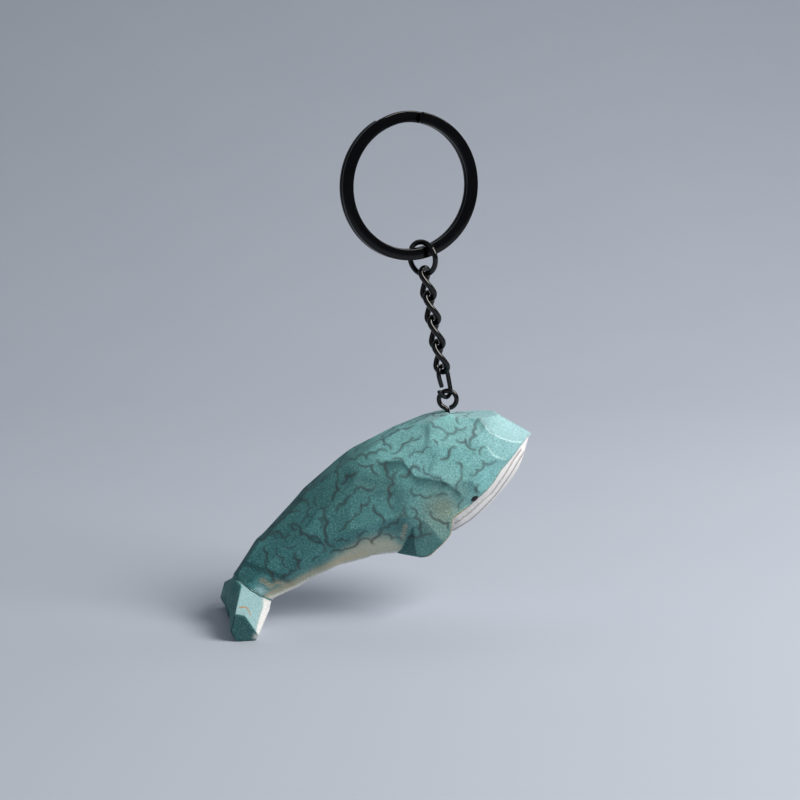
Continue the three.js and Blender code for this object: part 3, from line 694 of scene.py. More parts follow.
# acrylic paint on carved lime wood: satin, brushed out thin so that grain speckles it, paler towards the
# head, with pencil curls over it, a white throat, bare tan wood where the paint stops, and painted shade and
# painted highlights laid in with its layers; the grain is drawn coarser than the pores of lime so that it
# shows
def paintedWood(name, look):
    material, tree, place = newMaterial(name)
    masks = {key: addNode(tree, "ShaderNodeAttribute", attribute_name=key).outputs["Fac"]
             for key in ["alongBody", "pencil"] + [layer[0] for layer in look["layers"]]}
    speckle = addNode(tree, "ShaderNodeTexNoise", {
        "Vector": place, "Scale": perMetre(look["speckle"]), "Detail": 4.0, "Roughness": 0.7})
    blotch = addNode(tree, "ShaderNodeTexNoise", {
        "Vector": place, "Scale": perMetre(look["blotch"]), "Detail": 5.0})
    teal = addNode(tree, "ShaderNodeValToRGB", {"Fac": masks["alongBody"]}, look["teal"])
    shade = addNode(tree, "ShaderNodeMapRange", {
        "Value": blotch, "From Min": 0.3, "From Max": 0.7, "To Max": look["blotchCover"]})
    colour = addNode(tree, "ShaderNodeMix", {0: shade, 6: teal, 7: toLinear(look["deep"])}, data_type="RGBA")

    # layers one over another, each mask's edge made ragged by the speckle
    edge = addNode(tree, "ShaderNodeMath", {0: speckle, 1: 0.5}, operation="SUBTRACT")
    for key, over, ragged in look["layers"]:
        mask = masks[key]
        moved = addNode(tree, "ShaderNodeMath", {0: edge, 1: ragged, 2: mask}, operation="MULTIPLY_ADD")
        cover = addNode(tree, "ShaderNodeMath", {0: moved, 1: mask}, operation="MULTIPLY", use_clamp=True)
        colour = addNode(tree, "ShaderNodeMix", {0: cover, 6: colour, 7: toLinear(over)}, data_type="RGBA")

    # grain and scrapes in the brushed-out paint, calmer where the thicker coats lie
    covered = masks["whitePaint"]
    for key in ("paleWashAndHighlight", "bellyWash"):
        covered = addNode(tree, "ShaderNodeMath", {0: covered, 1: masks[key]}, operation="MAXIMUM")
    calm = addNode(tree, "ShaderNodeMath", {
        0: covered, 1: -look["calming"], 2: 1.0}, operation="MULTIPLY_ADD")
    grain = addNode(tree, "ShaderNodeMapRange", {
        "Value": speckle, "From Min": 0.34, "From Max": 0.66,
        "To Min": -look["grain"], "To Max": look["grain"]})
    tone = addNode(tree, "ShaderNodeMath", {0: grain, 1: calm, 2: 1.0}, operation="MULTIPLY_ADD")
    grained = addNode(tree, "ShaderNodeVectorMath", {0: colour, "Scale": tone.outputs[0]}, operation="SCALE")
    scrape = addNode(tree, "ShaderNodeMapRange", {
        "Value": speckle, "From Min": 0.56, "From Max": 0.7, "To Max": look["scrape"]})
    scraped = addNode(tree, "ShaderNodeMath", {0: scrape, 1: calm}, operation="MULTIPLY")
    colour = addNode(tree, "ShaderNodeMix", {
        0: scraped, 6: grained, 7: toLinear(look["pale"])}, data_type="RGBA")

    # pencil, thinner where the grain lies deep
    lead = addNode(tree, "ShaderNodeMapRange", {
        "Value": speckle, "From Min": 0.3, "From Max": 0.6,
        "To Min": look["pencilCover"][0], "To Max": look["pencilCover"][1]})
    mark = addNode(tree, "ShaderNodeMath", {0: lead, 1: masks["pencil"]}, operation="MULTIPLY")
    drawn = addNode(tree, "ShaderNodeMix", {
        0: mark, 6: colour, 7: toLinear(look["pencil"])}, data_type="RGBA")
    roughness = addNode(tree, "ShaderNodeMapRange", {
        "Value": blotch, "From Min": 0.3, "From Max": 0.7,
        "To Min": look["roughness"][0], "To Max": look["roughness"][1]})
    relief = addNode(tree, "ShaderNodeBump", {
        "Height": speckle, "Strength": 0.35, "Distance": look["speckleDepth"] * mm})
    shader = addNode(tree, "ShaderNodeBsdfPrincipled", {
        "Base Color": drawn, "Roughness": roughness, "Normal": relief, "Specular IOR Level": look["gloss"]})
    addNode(tree, "ShaderNodeOutputMaterial", {"Surface": shader})
    return material


paintLook = dict(
    teal=[(0.0, "#427f81"), (0.35, "#4d8887"), (0.62, "#6ca9a9"), (0.75, "#7ab7b8"), (1.0, "#8fbfc5")],
    deep="#2b5456", pale="#a9beb6", speckle=0.32, blotch=5.0, blotchCover=0.35, grain=0.42, scrape=0.32,
    calming=0.85, speckleDepth=0.05, roughness=(0.58, 0.75), gloss=0.3,
    pencil="#38383b", pencilCover=(0.45, 0.9),
    layers=[  # mask, colour, how ragged its edge is
        # dark paint, and painted shade on faces turned from the light
        ("deepPaintAndShade", "#214b4e", 0.8),
        ("oliveWash", "#878d79", 1.0),
        ("bellyWash", "#c0bfaa", 0.6),
        # painted highlight along the edges of the head's facets
        ("edgeHighlight", "#c3e6e6", 0.8),
        # pale paint, with painted highlights on the head
        ("paleWashAndHighlight", "#b4d4da", 0.8),
        ("bareWood", "#c3a784", 0.8),
        ("whitePaint", "#e6e4e3", 0.8),
        ("lipLine", "#ad7c48", 0.6),
        ("pleatLine", "#857f7d", 0.4),
    ],
)
whalePaint = paintedWood("acrylic paint on carved lime wood", paintLook)
carvedParts = [part + eyeFoot for part in (bodyPoints, flipperGrid(-1), flipperGrid(1))]
whaleBody = joinedSkin("whale_body_carved", carvedParts, whalePaint, "flipperPart")
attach(whaleBody, "whale")
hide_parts("whale_body")
print("whale body joined,", len(whaleBody.data.polygons), "faces")

# paint places, measured like the body in side view
markings = dict(
    keel=[rib[2:4] for rib in whale["ribs"][:8]],  # from the tail to the throat
    brow=[[5.0, 0.4], [5.85, -0.39], [6.57, -1.6], [7.41, -2.82], [9.52, -3.93], [11.83, -4.89],
          [14.67, -5.52], [17.7, -5.0], [18.5, -3.5], [14.0, 1.0]],
    temple=[[7.41, -2.82], [6.82, -4.21], [6.65, -5.52], [7.54, -7.07], [9.36, -7.98], [10.55, -8.35],
            [12.56, -7.12], [14.67, -5.52], [11.83, -4.89], [9.52, -3.93]],
    ridge=[[-21.9, -9.2], [-15.3, -7.9], [-11.2, -7.5], [-8.8, -10.6], [-6.4, -10.9], [-2.6, -11.8],
           [1.7, -15.3]],
    crease=[[-10.6, -19.2], [-10.9, -21.6], [-11.1, -24.0]],
    # among these, the shares of wash kept off the flipper's crease and of olive kept off its rear wall, where
    # painted shade shows
    narrowing=1.2, swelling=2.2, creaseShade=0.7, cheekShade=0.6, rearShadeClear=0.7, lipThinning=0.5, litLift=0.19,
    bladeDeep=(0.4, 0.7), bladeOlive=(0.55, 0.2), spineEvery=12,
)
strokes = dict(  # line or spot, how far the paint reaches from it, how heavily the brush is loaded
    creaseTan=(markings["crease"], 0.7),
    # painted shade in the flipper's crease: the wash is kept off within this reach
    creaseWash=(markings["crease"], 1.3),
    # painted shade on the lower flank behind the flipper
    underFlank=([[-20.5, -11.5], [-14.5, -13.0], [-12.3, -14.5], [-12.0, -21.0]], 3.3),
    cheek=([[-2.8, -17.0]], 6.4),
    headPale=([[-5.8, -2.9]], 2.0),
    # painted highlight along the edges of the brow and the temple
    browEdge=(markings["brow"][1:7], 0.24),
    templeEdge=(markings["temple"][2:6], 0.24),
    upperPleat=(jaw["pleats"][0], 0.2, 1.7),
    lowerPleat=(jaw["pleats"][1], 0.2, 1.7),
    tailBand=([[-42.5, -29.5], [-40.5, -30.1], [-37.6, -31.0], [-35.4, -32.0], [-33.1, -34.0]], 0.75, 1.3),
    upperStreak=([[-39.6, -32.5], [-37.6, -34.0]], 0.75),
    lowerStreak=([[-36.6, -32.9], [-33.8, -34.4]], 0.75),
    tailPale=([[-39.8, -34.9]], 1.9),
)
bands = dict(  # the same for paint at a set distance from an edge, with that distance first
    bellyTan=(2.0, 0.8), swelling=(-17.5, 5.5), ridgeShade=(0.0, 2.8), rim=(-0.1, 0.22), lip=(0.1, 0.17, 1.4),
)
borders = dict(  # where a change of paint begins and where it is complete
    throat=(-0.2, 0.12), bellyFront=(-2.5, 0.5), bellyWhite=(0.7, 1.9), bellyWash=(1.6, 6.4),
    tanFront=(-14.0, -20.0), narrowTail=(-22.0, -28.0), aboveRidge=(-0.4, 0.4), belowRidge=(0.3, -0.3),
    litRear=(-18.0, -14.5), litFront=(0.6, 0.7), shadeRear=(-18, -14), shadeFront=(0, 3),
    backUp=(0.35, 0.75), backFront=(0.33, 0.43), crownUp=(0.6, 0.9), crownRear=(0.62, 0.7),
    fold=(-0.3, 0.3), bladeTop=(-18.7, -16.3), rearFacing=(-0.3, -0.6), nearFace=(1.0, 0.4),
    rimRear=(-8.5, -6.0), rimTop=(-16.0, -17.5), lipFront=(4.0, 14.0), headFacet=(-0.15, 0.1),
    seam=(0.02, 0.055), seamUp=(0.2, 0.45), curlKeel=(3.4, 4.6),
)
covers = dict(  # how much of its layer's colour a part of the painting carries, all of it where none is named
    upward=0.65, seam=0.7, tailBand=0.85, shaded=0.9, underFlank=0.75, rear=0.8, cheek=0.85, wash=0.9,
    brow=0.6, temple=0.3, tailPale=0.7, crown=0.6, headPale=0.35, browEdge=0.95, templeEdge=0.76,
    tan=0.6, streaks=0.7, white=0.85, lip=0.8, rim=0.85, pleats=0.9,
)
curls = dict(
    arcs=[1, 2, 2, 3], steps=8, waved=0.35, turn=(80, 165), swing=(0.75, 1.25), size=(2.0, 3.4), spacing=3.2,
    tries=6000, slant=[0.3, 1.0, 0.2], reach=6.0, facing=0.35, width=(0.19, 0.38), edge=(0.6, 1.3),
    pressure=(0.75, 1.0), lightEnd=0.6, shortEnd=0.05, along=(0.07, 0.82), overLip=1.2, overRim=-2.5, seed=8,
)


def meshPoints(piece):
    count = len(piece.data.vertices)
    points, normals = np.empty(count * 3, np.float32), np.empty(count * 3, np.float32)
    piece.data.vertices.foreach_get("co", points)
    piece.data.vertex_normals.foreach_get("vector", normals)
    return points.reshape(-1, 3) / mm, normals.reshape(-1, 3)


# a curl: one to three arcs in a row, each turning evenly; the pencil swings back between them
# as in a written m, or runs on the other way as in a written s
def curlLine(random):
    arcs, steps = random.choice(curls["arcs"]), curls["steps"]
    waved = random.random() < curls["waved"]
    turn = random.uniform(*curls["turn"], arcs) * random.choice([-1, 1])
    turn = turn * (-1.0 if waved else 1.0) ** np.arange(arcs)
    rate = np.repeat(turn / steps, steps)
    if not waved:
        rate[steps::steps] -= turn[:-1] * random.uniform(*curls["swing"], arcs - 1)
    heading = np.radians(random.uniform(0, 360) + np.cumsum(rate))
    length = np.repeat(random.uniform(*curls["size"], arcs) / steps, steps)
    line = np.cumsum(np.stack([np.cos(heading), np.sin(heading)], -1) * length[:, None], 0)
    return line - line.mean(0)


# pencil: curls set on the skin about evenly, each drawn in the plane that touches the skin at its middle
def pencilMask(points, normals, region):
    random = np.random.default_rng(curls["seed"])
    mask = np.zeros(len(points))
    middles = np.empty((0, 3))
    for index in random.permutation(np.flatnonzero(region))[:curls["tries"]]:
        place, facing = points[index], normals[index]
        if len(middles) and np.linalg.norm(middles - place, axis=1).min() < curls["spacing"]:
            continue
        middles = np.vstack([middles, place])
        across = unit(np.cross(facing, curls["slant"]))
        other = np.cross(facing, across)
        near = np.flatnonzero(np.linalg.norm(points - place, axis=1) < curls["reach"])
        near = near[normals[near] @ facing > curls["facing"]]
        flat = np.stack([(points[near] - place) @ across, (points[near] - place) @ other], -1)
        gap, way = lineDistance(flat, curlLine(random))
        low, high = np.array(curls["edge"]) * random.uniform(*curls["width"])
        way = way * (1 - 2 * curls["shortEnd"]) + curls["shortEnd"]
        pressed = curls["lightEnd"] + (1 - curls["lightEnd"]) * np.sin(np.pi * way)
        pressed = pressed * random.uniform(*curls["pressure"])
        mask[near] = np.maximum(mask[near], pressed * (1 - smoothStep(low, high, gap)))
    print("pencil curls:", len(middles))
    return mask


# soft paint: full where the gap is nought, gone a little past its reach; a loaded brush fills more of it
def softStripe(gap, reach, load=1.0):
    return np.minimum(load * np.exp(-(gap / reach) ** 2), 1)


# a stroke: soft paint by the distance to a line, or to a spot, which is a line of one point
def brushed(points, line, reach, load=1.0):
    line = list(line) * (2 if len(line) == 1 else 1)
    return softStripe(lineDistance(points, line)[0], reach, load)


# a band: soft paint at a set distance from an edge
def band(name, distance):
    place, *brush = bands[name]
    return softStripe(distance - place, *brush)


# how far a value is past a border, from 0 to 1
def past(border, value):
    return smoothStep(*borders[border], value)


# several parts of one layer: at each point the one that covers best
def strongest(covers, **parts):
    return np.max([covers.get(name, 1.0) * part for name, part in parts.items()], 0)


def whaleMasks(points, normals, onFlipper):
    sideView = points[:, [0, 2]]
    x, z = sideView.T
    upwards = normals[:, 2]
    stroke = {name: brushed(sideView, *row) for name, row in strokes.items()}
    alongBody = lineDistance(sideView, spine[::markings["spineEvery"]][:, [0, 2]])[1]
    fromRim = outlineDistance(sideView, flipperRim(flipper["paintSteps"]))
    fromLip = outlineDistance(sideView, throatOutline)
    throat = (1 - past("throat", fromLip)) * ~onFlipper
    pleats = (stroke["upperPleat"] + stroke["lowerPleat"]) * throat

    # belly: white along the keel, a tan rim, then a wash that runs out into the teal
    overKeel = lineDistance(sideView, markings["keel"])[0]
    belly = ~onFlipper * (1 - past("bellyFront", x))
    white = (1 - past("bellyWhite", overKeel)) * belly
    tan = band("bellyTan", overKeel) * belly * past("tanFront", x)
    tan = np.maximum(tan, stroke["creaseTan"] * (np.abs(points[:, 1]) < flipper["reach"]))
    narrow = markings["narrowing"] * past("narrowTail", x) - markings["swelling"] * band("swelling", x)
    wash = (1 - past("bellyWash", overKeel + narrow)) * belly
    # painted shade in the flipper's crease, where the wash is kept off
    wash = wash * (1 - markings["creaseShade"] * stroke["creaseWash"])

    # flank: a painted highlight above a ridge of the carving, painted shade below it
    overRidge = z - np.interp(x, *np.array(markings["ridge"]).T)
    lit = past("aboveRidge", overRidge) * past("litRear", x) * (1 - past("litFront", alongBody))
    shaded = past("belowRidge", overRidge) * band("ridgeShade", overRidge)
    shaded = shaded * past("shadeRear", x) * (1 - past("shadeFront", x))
    # painted shade on the upward-facing back of the tail half
    upward = past("backUp", upwards) * (1 - past("backFront", alongBody))
    # painted highlight on the upward-facing top of the head
    crown = past("crownUp", upwards) * past("crownRear", alongBody)

    # flipper and cheek: olive in front of the fold, painted shade on the lower blade, heavier behind the
    # fold, and on the rear wall, a tan rim in front
    folded = past("fold", behindFold(sideView))
    blade = onFlipper * (1 - past("bladeTop", z))
    bladeDeep = blade * np.interp(folded, (0, 1), markings["bladeDeep"])
    bladeOlive = blade * np.interp(folded, (0, 1), markings["bladeOlive"])
    # painted shade on the flipper's rear wall, which faces the tail
    rear = onFlipper * past("rearFacing", normals[:, 0])
    cheek = stroke["cheek"] * (1 - markings["cheekShade"] * shaded)
    nearFace = past("nearFace", flipperReach(sideView) - np.abs(points[:, 1]))
    rim = onFlipper * band("rim", fromRim) * nearFace * past("rimRear", x) * past("rimTop", z)
    lip = band("lip", fromLip) * ~onFlipper * (1 - markings["lipThinning"] * past("lipFront", x))

    # head: pale paint on the brow and, less, on the temple, partly a painted highlight on facets that face
    # the light, with a painted highlight along the edges of both
    brow = 1 - past("headFacet", outlineDistance(sideView, markings["brow"]))
    temple = 1 - past("headFacet", outlineDistance(sideView, markings["temple"]))

    # tail: a dark band slants across it, with rubbed streaks and a pale spot between the band and the seam
    seam = (1 - past("seam", alongBody)) * past("seamUp", upwards)
    streaks = np.minimum(stroke["upperStreak"] + stroke["lowerStreak"], 1)

    region = (alongBody > curls["along"][0]) & (alongBody < curls["along"][1]) & (fromLip > curls["overLip"])
    region = region & (overKeel > borders["curlKeel"][1]) & (fromRim > curls["overRim"])
    return dict(
        # the teal's place from tail to snout, lifted by the painted highlight above the ridge
        alongBody=alongBody + markings["litLift"] * lit,
        # dark paint on the tail, with painted shade on the back of the tail half, below the ridge, under the
        # flank and on the flipper
        deepPaintAndShade=strongest(
            covers, upward=upward, seam=seam, shaded=shaded, bladeDeep=bladeDeep, rear=rear,
            tailBand=stroke["tailBand"] * ~onFlipper, underFlank=stroke["underFlank"] * ~onFlipper),
        oliveWash=strongest(covers, cheek=cheek, bladeOlive=bladeOlive) * (1 - markings["rearShadeClear"] * rear),
        bellyWash=strongest(covers, wash=wash),
        # pale paint, partly painted highlight on the brow and temple, and a painted highlight on the crown
        paleWashAndHighlight=strongest(
            covers, brow=brow, temple=temple, crown=crown,
            tailPale=stroke["tailPale"], headPale=stroke["headPale"]),
        # painted highlight along the edges of the brow and the temple
        edgeHighlight=strongest(covers, browEdge=stroke["browEdge"], templeEdge=stroke["templeEdge"]),
        bareWood=strongest(covers, tan=tan, streaks=streaks),
        whitePaint=strongest(covers, throat=throat, white=white),
        lipLine=strongest(covers, lip=lip, rim=rim),
        pleatLine=strongest(covers, pleats=pleats),
        pencil=pencilMask(points, normals, region) * past("curlKeel", overKeel) * (1 - throat))


skinPoints, skinNormals = meshPoints(whaleBody)
flipperPart = np.empty(len(skinPoints), np.float32)
whaleBody.data.attributes["flipperPart"].data.foreach_get("value", flipperPart)
setMasks(whaleBody, whaleMasks(skinPoints - eyeFoot, skinNormals, flipperPart > 0.5))
print("whale body painted")

# eyes: a drop of thick black paint on each side, an oval lens with its long way along the mouth
eyeDot = dict(place=[3.5, -15.8], facingPlace=[2.2, -14.2], halfLength=0.84, halfWidth=0.66, height=0.34,
              sink=0.6, slant=[0.78, 0.62], rings=14, sides=36, poleGap=0.04, farAway=1e3)


# half an ellipsoid above the skin and a deeper one sunk in it: rings from the top to the bottom
def eyeGrid(side):
    otherSide = np.where(np.sign(bodyPoints[..., 1]) == side, 0, eyeDot["farAway"])
    gaps = [np.linalg.norm(bodyPoints[..., [0, 2]] - eyeDot[key], axis=-1) + otherSide
            for key in ("place", "facingPlace")]
    (row, column), above = [np.unravel_index(gap.argmin(), gap.shape) for gap in gaps]
    facing = gridNormals(bodyPoints, spine)[above]
    length = np.array([eyeDot["slant"][0], 0, eyeDot["slant"][1]])
    length = unit(length - (length @ facing) * facing)
    width = np.cross(facing, length)
    fall = np.linspace(eyeDot["poleGap"], np.pi - eyeDot["poleGap"], eyeDot["rings"])[:, None, None]
    turn = np.linspace(0, 2 * np.pi, eyeDot["sides"], endpoint=False)[None, :, None]
    lift = np.where(np.cos(fall) > 0, eyeDot["height"], eyeDot["sink"]) * np.cos(fall)
    oval = eyeDot["halfLength"] * np.cos(turn) * length + eyeDot["halfWidth"] * np.sin(turn) * width
    return bodyPoints[row, column] + np.sin(fall) * oval + lift * facing


# gloss enamel dotted on with a brush tip: black, wet looking, with a slightly uneven skin
enamel = blottedCoat("black gloss enamel dot", blot=0.5, detail=2.0,
                     stops=[(0.0, "#050506"), (1.0, "#101214")], roughness=(0.1, 0.25))
for side, name in ((-1, "eye_dot_right"), (1, "eye_dot_left")):
    dot = surfaceObject(name, eyeGrid(side) + eyeFoot, enamel)
    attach(dot, "whale")
print("eyes dotted")

# tail fluke: a second block, its slices changing from tip to root to the notched middle and back
fluke = dict(
    span=25.0, rootWidth=8.0, crestWidth=3.0, shoulder=1.3, heel=0.6, foot=-7.8, notch=2.2, glueLine=0.3,
    rootBack=[-5.45, -2.7], rootFeet=[-4.95, 0.1], rootFront=[2.95, -4.0],
    tip=[[-5.05, -2.3], [-5.95, -5.8], [-4.75, -7.8], [-0.8, -7.8], [-0.4, -7.0], [-3.25, -2.6]],
    stretch=22, rows=92, faceRings=12, edgeRings=4, rounding=0.4, hub=0.03, faceShare=0.9, easing=3,
    frontEdge=[[-0.8, -7.8], [-0.4, -7.0], [2.95, -4.0], [3.8, -2.65]],
    stripPlace=[4.0, 7.0, 12.5], stripWidth=[2.6, 2.1, 1.0], stripEdge=(-0.3, 0.15), stripRim=(0.15, 0.35),
    nick=([[-44.8, 10.0, -36.3], [-43.9, 9.4, -36.4], [-43.3, 9.1, -36.6], [-42.8, 10.2, -37.3],
           [-42.7, 10.9, -38.0]], 0.2, 1.5),
    chip=([[-41.8, -41.8]], 0.8), chipOut=(11.7, 12.1), endFace=(11.95, 12.25),
    rimIn=(11.9, 12.2), rimOut=(12.3, 12.48), rimLow=(-41.0, -42.0),
    covers=dict(endFace=0.9, rootTop=0.75, lowRim=0.6, stripRim=0.4, strip=0.95, chip=0.8),
    # sides of a slice, counted from its upper corner at the seam, back first
    backEnd=1.0, rearEnd=2.2, stripFrom=2.9, stripRimFrom=3.9, topFrom=4.1, tones=(0.35, 0.15, 0.05),
)
tailBack, tailKeel = np.array(whale["ribs"][0][:2]), np.array(whale["ribs"][0][2:4])
tailMiddle = (tailBack + tailKeel) / 2
tailHalf = np.linalg.norm(tailBack - tailKeel) / 2
tailAcross = unit(tailBack - tailKeel)
tailAway = np.array([tailAcross[1], -tailAcross[0]])
if tailAway @ (tailMiddle - spine[-1, [0, 2]]) < 0:
    tailAway = -tailAway


# six-cornered slices stand between the middle and the tips; a slice between two of them is their weighted
# mean, its sides are divided evenly and its corners eased by averaging neighbours
def flukeGrid():
    def rootSlice(shoulder, heel, bottom):
        seam = fluke["glueLine"] * tailAway
        return [tailAcross * (tailHalf - shoulder) + seam, fluke["rootBack"], [fluke["rootFeet"][0], bottom],
                [fluke["rootFeet"][1], bottom], fluke["rootFront"], tailAcross * (heel - tailHalf) + seam]
    tip = np.array(fluke["tip"])
    root = np.array(rootSlice(fluke["shoulder"], fluke["heel"], fluke["foot"]))
    crest = np.array(rootSlice(0, 0, fluke["foot"] + fluke["notch"]))
    stations = np.array([-fluke["span"], -fluke["rootWidth"], -fluke["crestWidth"], fluke["crestWidth"],
                         fluke["rootWidth"], fluke["span"]]) / 2
    slices = np.array([tip, root, crest, crest, root, tip])
    inset = fluke["rounding"]
    turn = np.linspace(0, np.pi / 2, fluke["edgeRings"])
    across = np.linspace(stations[0] + inset, stations[-1] - inset, fluke["rows"])
    corners = np.stack([[np.interp(across, stations, slices[:, c, k]) for k in (0, 1)] for c in range(6)], 0)
    corners = np.moveaxis(corners, 2, 0)
    share = np.linspace(0, 1, fluke["stretch"], endpoint=False)[:, None]
    outline = corners[:, :, None] * (1 - share) + np.roll(corners, -1, 1)[:, :, None] * share
    outline = outline.reshape(fluke["rows"], -1, 2)
    for _ in range(fluke["easing"]):
        outline = (np.roll(outline, 1, 1) + 2 * outline + np.roll(outline, -1, 1)) / 4
        outline[1:-1] = (outline[:-2] + 2 * outline[1:-1] + outline[2:]) / 4
    flat = fluke["faceShare"]
    scale = np.concatenate([
        np.linspace(fluke["hub"], flat, fluke["faceRings"]), flat + (1 - flat) * np.sin(turn)[1:]])
    depth = np.concatenate([np.zeros(fluke["faceRings"]), inset * (1 - np.cos(turn))[1:]])
    ends = []
    for row, side in ((0, -1), (-1, 1)):
        middle = outline[row].mean(0)
        face = middle + scale[:, None, None] * (outline[row] - middle)
        level = np.broadcast_to((side * (fluke["span"] / 2 - depth))[:, None], face.shape[:2])
        ends.append(np.stack([face[..., 0], level, face[..., 1]], -1))
    level = np.broadcast_to(across[:, None], outline.shape[:2])
    middlePart = np.stack([outline[..., 0], level, outline[..., 1]], -1)[1:-1]
    grid = np.vstack([ends[0], middlePart, ends[1][::-1]])
    return grid + [tailMiddle[0], 0, tailMiddle[1]]


# paint: a pale top, white along the front edge, dark ends that are partly painted shade, a pale low rim that
# is chipped paint and partly a painted highlight, a chip and a nick in each
def flukeMasks(points):
    side = np.broadcast_to(np.arange(points.shape[1]) / fluke["stretch"], points.shape[:2])
    sideView = points[..., [0, 2]]
    out = np.abs(points[..., 1])
    endFace = smoothStep(*fluke["endFace"], out)
    between = 1 - endFace
    frontEdge = lineDistance(sideView, np.array(fluke["frontEdge"]) + tailMiddle)[0]
    pastStrip = frontEdge - np.interp(out, fluke["stripPlace"], fluke["stripWidth"])
    strip = (1 - smoothStep(*fluke["stripEdge"], pastStrip)) * (side > fluke["stripFrom"]) * between
    rimPlace, rimReach = fluke["stripRim"]
    stripRim = softStripe(pastStrip - rimPlace, rimReach) * (side > fluke["stripRimFrom"]) * between
    mirrored = np.stack([points[..., 0], out, points[..., 2]], -1)
    chip = brushed(sideView, *fluke["chip"]) * smoothStep(*fluke["chipOut"], out)
    # pale along the low rounded rim of each end: chipped paint, partly a painted highlight
    lowRim = smoothStep(*fluke["rimIn"], out) * (1 - smoothStep(*fluke["rimOut"], out))
    lowRim = lowRim * smoothStep(*fluke["rimLow"], points[..., 2])
    covers = fluke["covers"]
    back, rear, rest = fluke["tones"]
    bare = {key: 0 * side for key in ("pencil", "oliveWash", "edgeHighlight", "bellyWash", "pleatLine")}
    return dict(
        bare,
        alongBody=np.where(side < fluke["backEnd"], back, np.where(side < fluke["rearEnd"], rear, rest)),
        # the dark ends, partly painted shade
        deepPaintAndShade=strongest(covers, endFace=endFace),
        paleWashAndHighlight=strongest(covers, rootTop=(side > fluke["topFrom"]) * between, lowRim=lowRim),
        bareWood=strongest(covers, stripRim=stripRim),
        whitePaint=strongest(covers, strip=strip, chip=chip),
        lipLine=brushed(mirrored, *fluke["nick"]))


flukePoints = flukeGrid()
flukePaint = flukeMasks(flukePoints)
tailFluke = surfaceObject("tail_fluke_carved", flukePoints + eyeFoot, whalePaint, masks=flukePaint)
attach(tailFluke, "whale")
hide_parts("tail_fluke")
print("tail fluke made")


# glue line: the bead that was pressed out of the joint between tail and fluke
glue = dict(
    beads=[[0.22, 0.5], [0.3, 1.0], [0.38, 0.6], [0.63, 0.5], [0.7, 1.0], [0.77, 0.7]],  # way round, size
    beadSize=0.28, beadWidth=0.018, overhang=0.05, overlap=0.12, inner=0.93, rings=9, around=160,
)


# the tail's end outline, carried the short way across the joint; it swells in the middle, more at the beads
def glueGrid():
    outline = bodyPoints[0]
    middle = outline.mean(0)
    pick = np.linspace(0, len(outline), glue["around"], endpoint=False).astype(int)
    fromMiddle = outline[pick] - middle
    turn = np.linspace(0, 1, glue["around"], endpoint=False)
    swell = np.full(glue["around"], glue["overhang"])
    for place, size in glue["beads"]:
        gap = np.abs((turn - place + 0.5) % 1 - 0.5)
        swell = swell + glue["beadSize"] * size * np.exp(-(gap / glue["beadWidth"]) ** 2)
    share = np.linspace(0, 1, glue["rings"])
    bulge = np.sin(np.pi * share)
    reach = np.linalg.norm(fromMiddle, axis=1)
    out = glue["inner"] + ((1 - glue["inner"]) * reach + swell)[None] / reach * bulge[:, None]
    away = np.array([tailAway[0], 0, tailAway[1]])
    depth = -glue["overlap"] + share * (fluke["glueLine"] + 2 * glue["overlap"])
    return middle + out[..., None] * fromMiddle + depth[:, None, None] * away


# wood glue, pressed out and dried: clear, shiny, tinted by the paint that was brushed over it
driedGlue = blottedCoat("dried wood glue under thin paint", blot=1.2, detail=3.0,
                        stops=[(0.4, "#356466"), (0.68, "#6d9a98")], roughness=(0.12, 0.35))
glueBead = surfaceObject("tail_glue_bead", glueGrid() + eyeFoot, driedGlue)
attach(glueBead, "whale")
print("glue line made")


# studio: a pale sweep under the tail, a soft key light from the right, a dim fill, two lights on the sweep,
# and the camera
studio = dict(
    floorZ=float(cadLow[2]) / mm, sweepBack=220.0, sweepRadius=600.0, halfWidth=1500.0, front=-900.0,
    wallHeight=900.0, floorSteps=12, curveSteps=24, wallSteps=6, sideSteps=13, air="#dfe5ee", airStrength=0.2,
    lights=[  # name, place, where it aims, size, watts, colour
        ("key_soft_box", (390, -290, 340), (0, 0, -60), (340, 340), 4.9, "#fffaf4"),
        ("fill_soft_box", (-450, -420, 160), (0, 0, -60), (500, 400), 0.12, "#eef4ff"),
        ("backdrop_soft_box", (620, 150, 260), (250, 440, -40), (400, 250), 0.6, "#ffffff"),
        ("floor_soft_box", (60, 220, 240), (60, 220, -104), (700, 200), 0.3, "#ffffff"),
    ],
    sensor=36, lens=78.6, clip=(0.01, 20), cameraPlace=(-66.67, -348.87, 5.37), lookDown=9.9, lookAside=10.5,
)


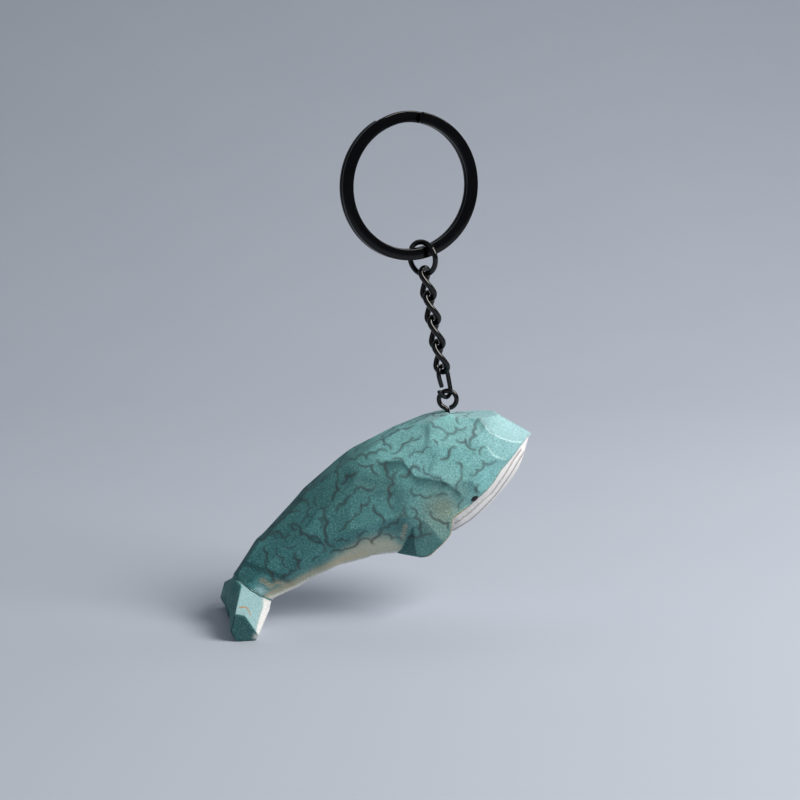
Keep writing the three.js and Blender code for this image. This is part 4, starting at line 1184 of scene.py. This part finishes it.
# floor that turns up behind in a quarter circle: the profile is carried sideways
def sweepPoints():
    back, radius, floor = studio["sweepBack"], studio["sweepRadius"], studio["floorZ"]
    turn = np.linspace(0, np.pi / 2, studio["curveSteps"])
    level = np.linspace(studio["front"], back, studio["floorSteps"])
    flat = np.stack([level, np.full(len(level), floor)], -1)
    curve = np.stack([back + radius * np.sin(turn), floor + radius * (1 - np.cos(turn))], -1)
    wall = curve[-1] + np.linspace(0, 1, studio["wallSteps"])[1:, None] * [0, studio["wallHeight"]]
    profile = np.vstack([flat, curve[1:], wall])
    sideways = np.linspace(-studio["halfWidth"], studio["halfWidth"], studio["sideSteps"])
    return np.stack(np.broadcast_arrays(sideways[:, None], profile[None, :, 0], profile[None, :, 1]), -1)


# matt paper from a roll: one blue-grey tone with a barely seen cloud in it
paper = blottedCoat("matt blue-grey paper", blot=60.0, detail=2.0,
                    stops=[(0.0, "#b7bfcc"), (1.0, "#bbc3cf")], roughness=0.9)
sweepGrid = sweepPoints()
index = np.arange(sweepGrid.shape[0] * sweepGrid.shape[1]).reshape(sweepGrid.shape[:2])
sweepFaces = np.stack([index[:-1, :-1], index[1:, :-1], index[1:, 1:], index[:-1, 1:]], -1).reshape(-1, 4)
sweep = meshObject("paper_sweep", sweepGrid.reshape(-1, 3), sweepFaces.tolist(), paper)


# a soft box: a rectangle of light that faces a point
def softBox(name, place, aim, size, watts, colour):
    data = bpy.data.lights.new(name, "AREA")
    data.shape = "RECTANGLE"
    data.size, data.size_y = size[0] * mm, size[1] * mm
    data.energy = watts
    data.color = toLinear(colour)[:3]
    lamp = sceneObject(name, data)
    lamp.location = [value * mm for value in place]
    away = np.array(place, float) - np.array(aim, float)
    yaw = math.atan2(away[1], away[0])
    tilt = math.atan2(math.hypot(away[0], away[1]), away[2])
    lamp.rotation_euler = (0, tilt, yaw)
    lamp.visible_camera = False


for light in studio["lights"]:
    softBox(*light)

world = bpy.data.worlds.new("studio air")
bpy.context.scene.world = world
world.use_nodes = True
world.node_tree.nodes.clear()
air = addNode(world.node_tree, "ShaderNodeBackground", {
    "Color": toLinear(studio["air"]), "Strength": studio["airStrength"]})
addNode(world.node_tree, "ShaderNodeOutputWorld", {"Surface": air})

cameraData = bpy.data.cameras.new("studio_camera")
cameraData.sensor_width = studio["sensor"]
cameraData.lens = studio["lens"]
cameraData.clip_start, cameraData.clip_end = studio["clip"]
camera = sceneObject("studio_camera", cameraData)
camera.location = [value * mm for value in studio["cameraPlace"]]
camera.rotation_euler = (math.radians(90 - studio["lookDown"]), 0, math.radians(-studio["lookAside"]))
bpy.context.scene.camera = camera
bpy.context.scene.view_settings.view_transform = "Standard"
print("studio set")
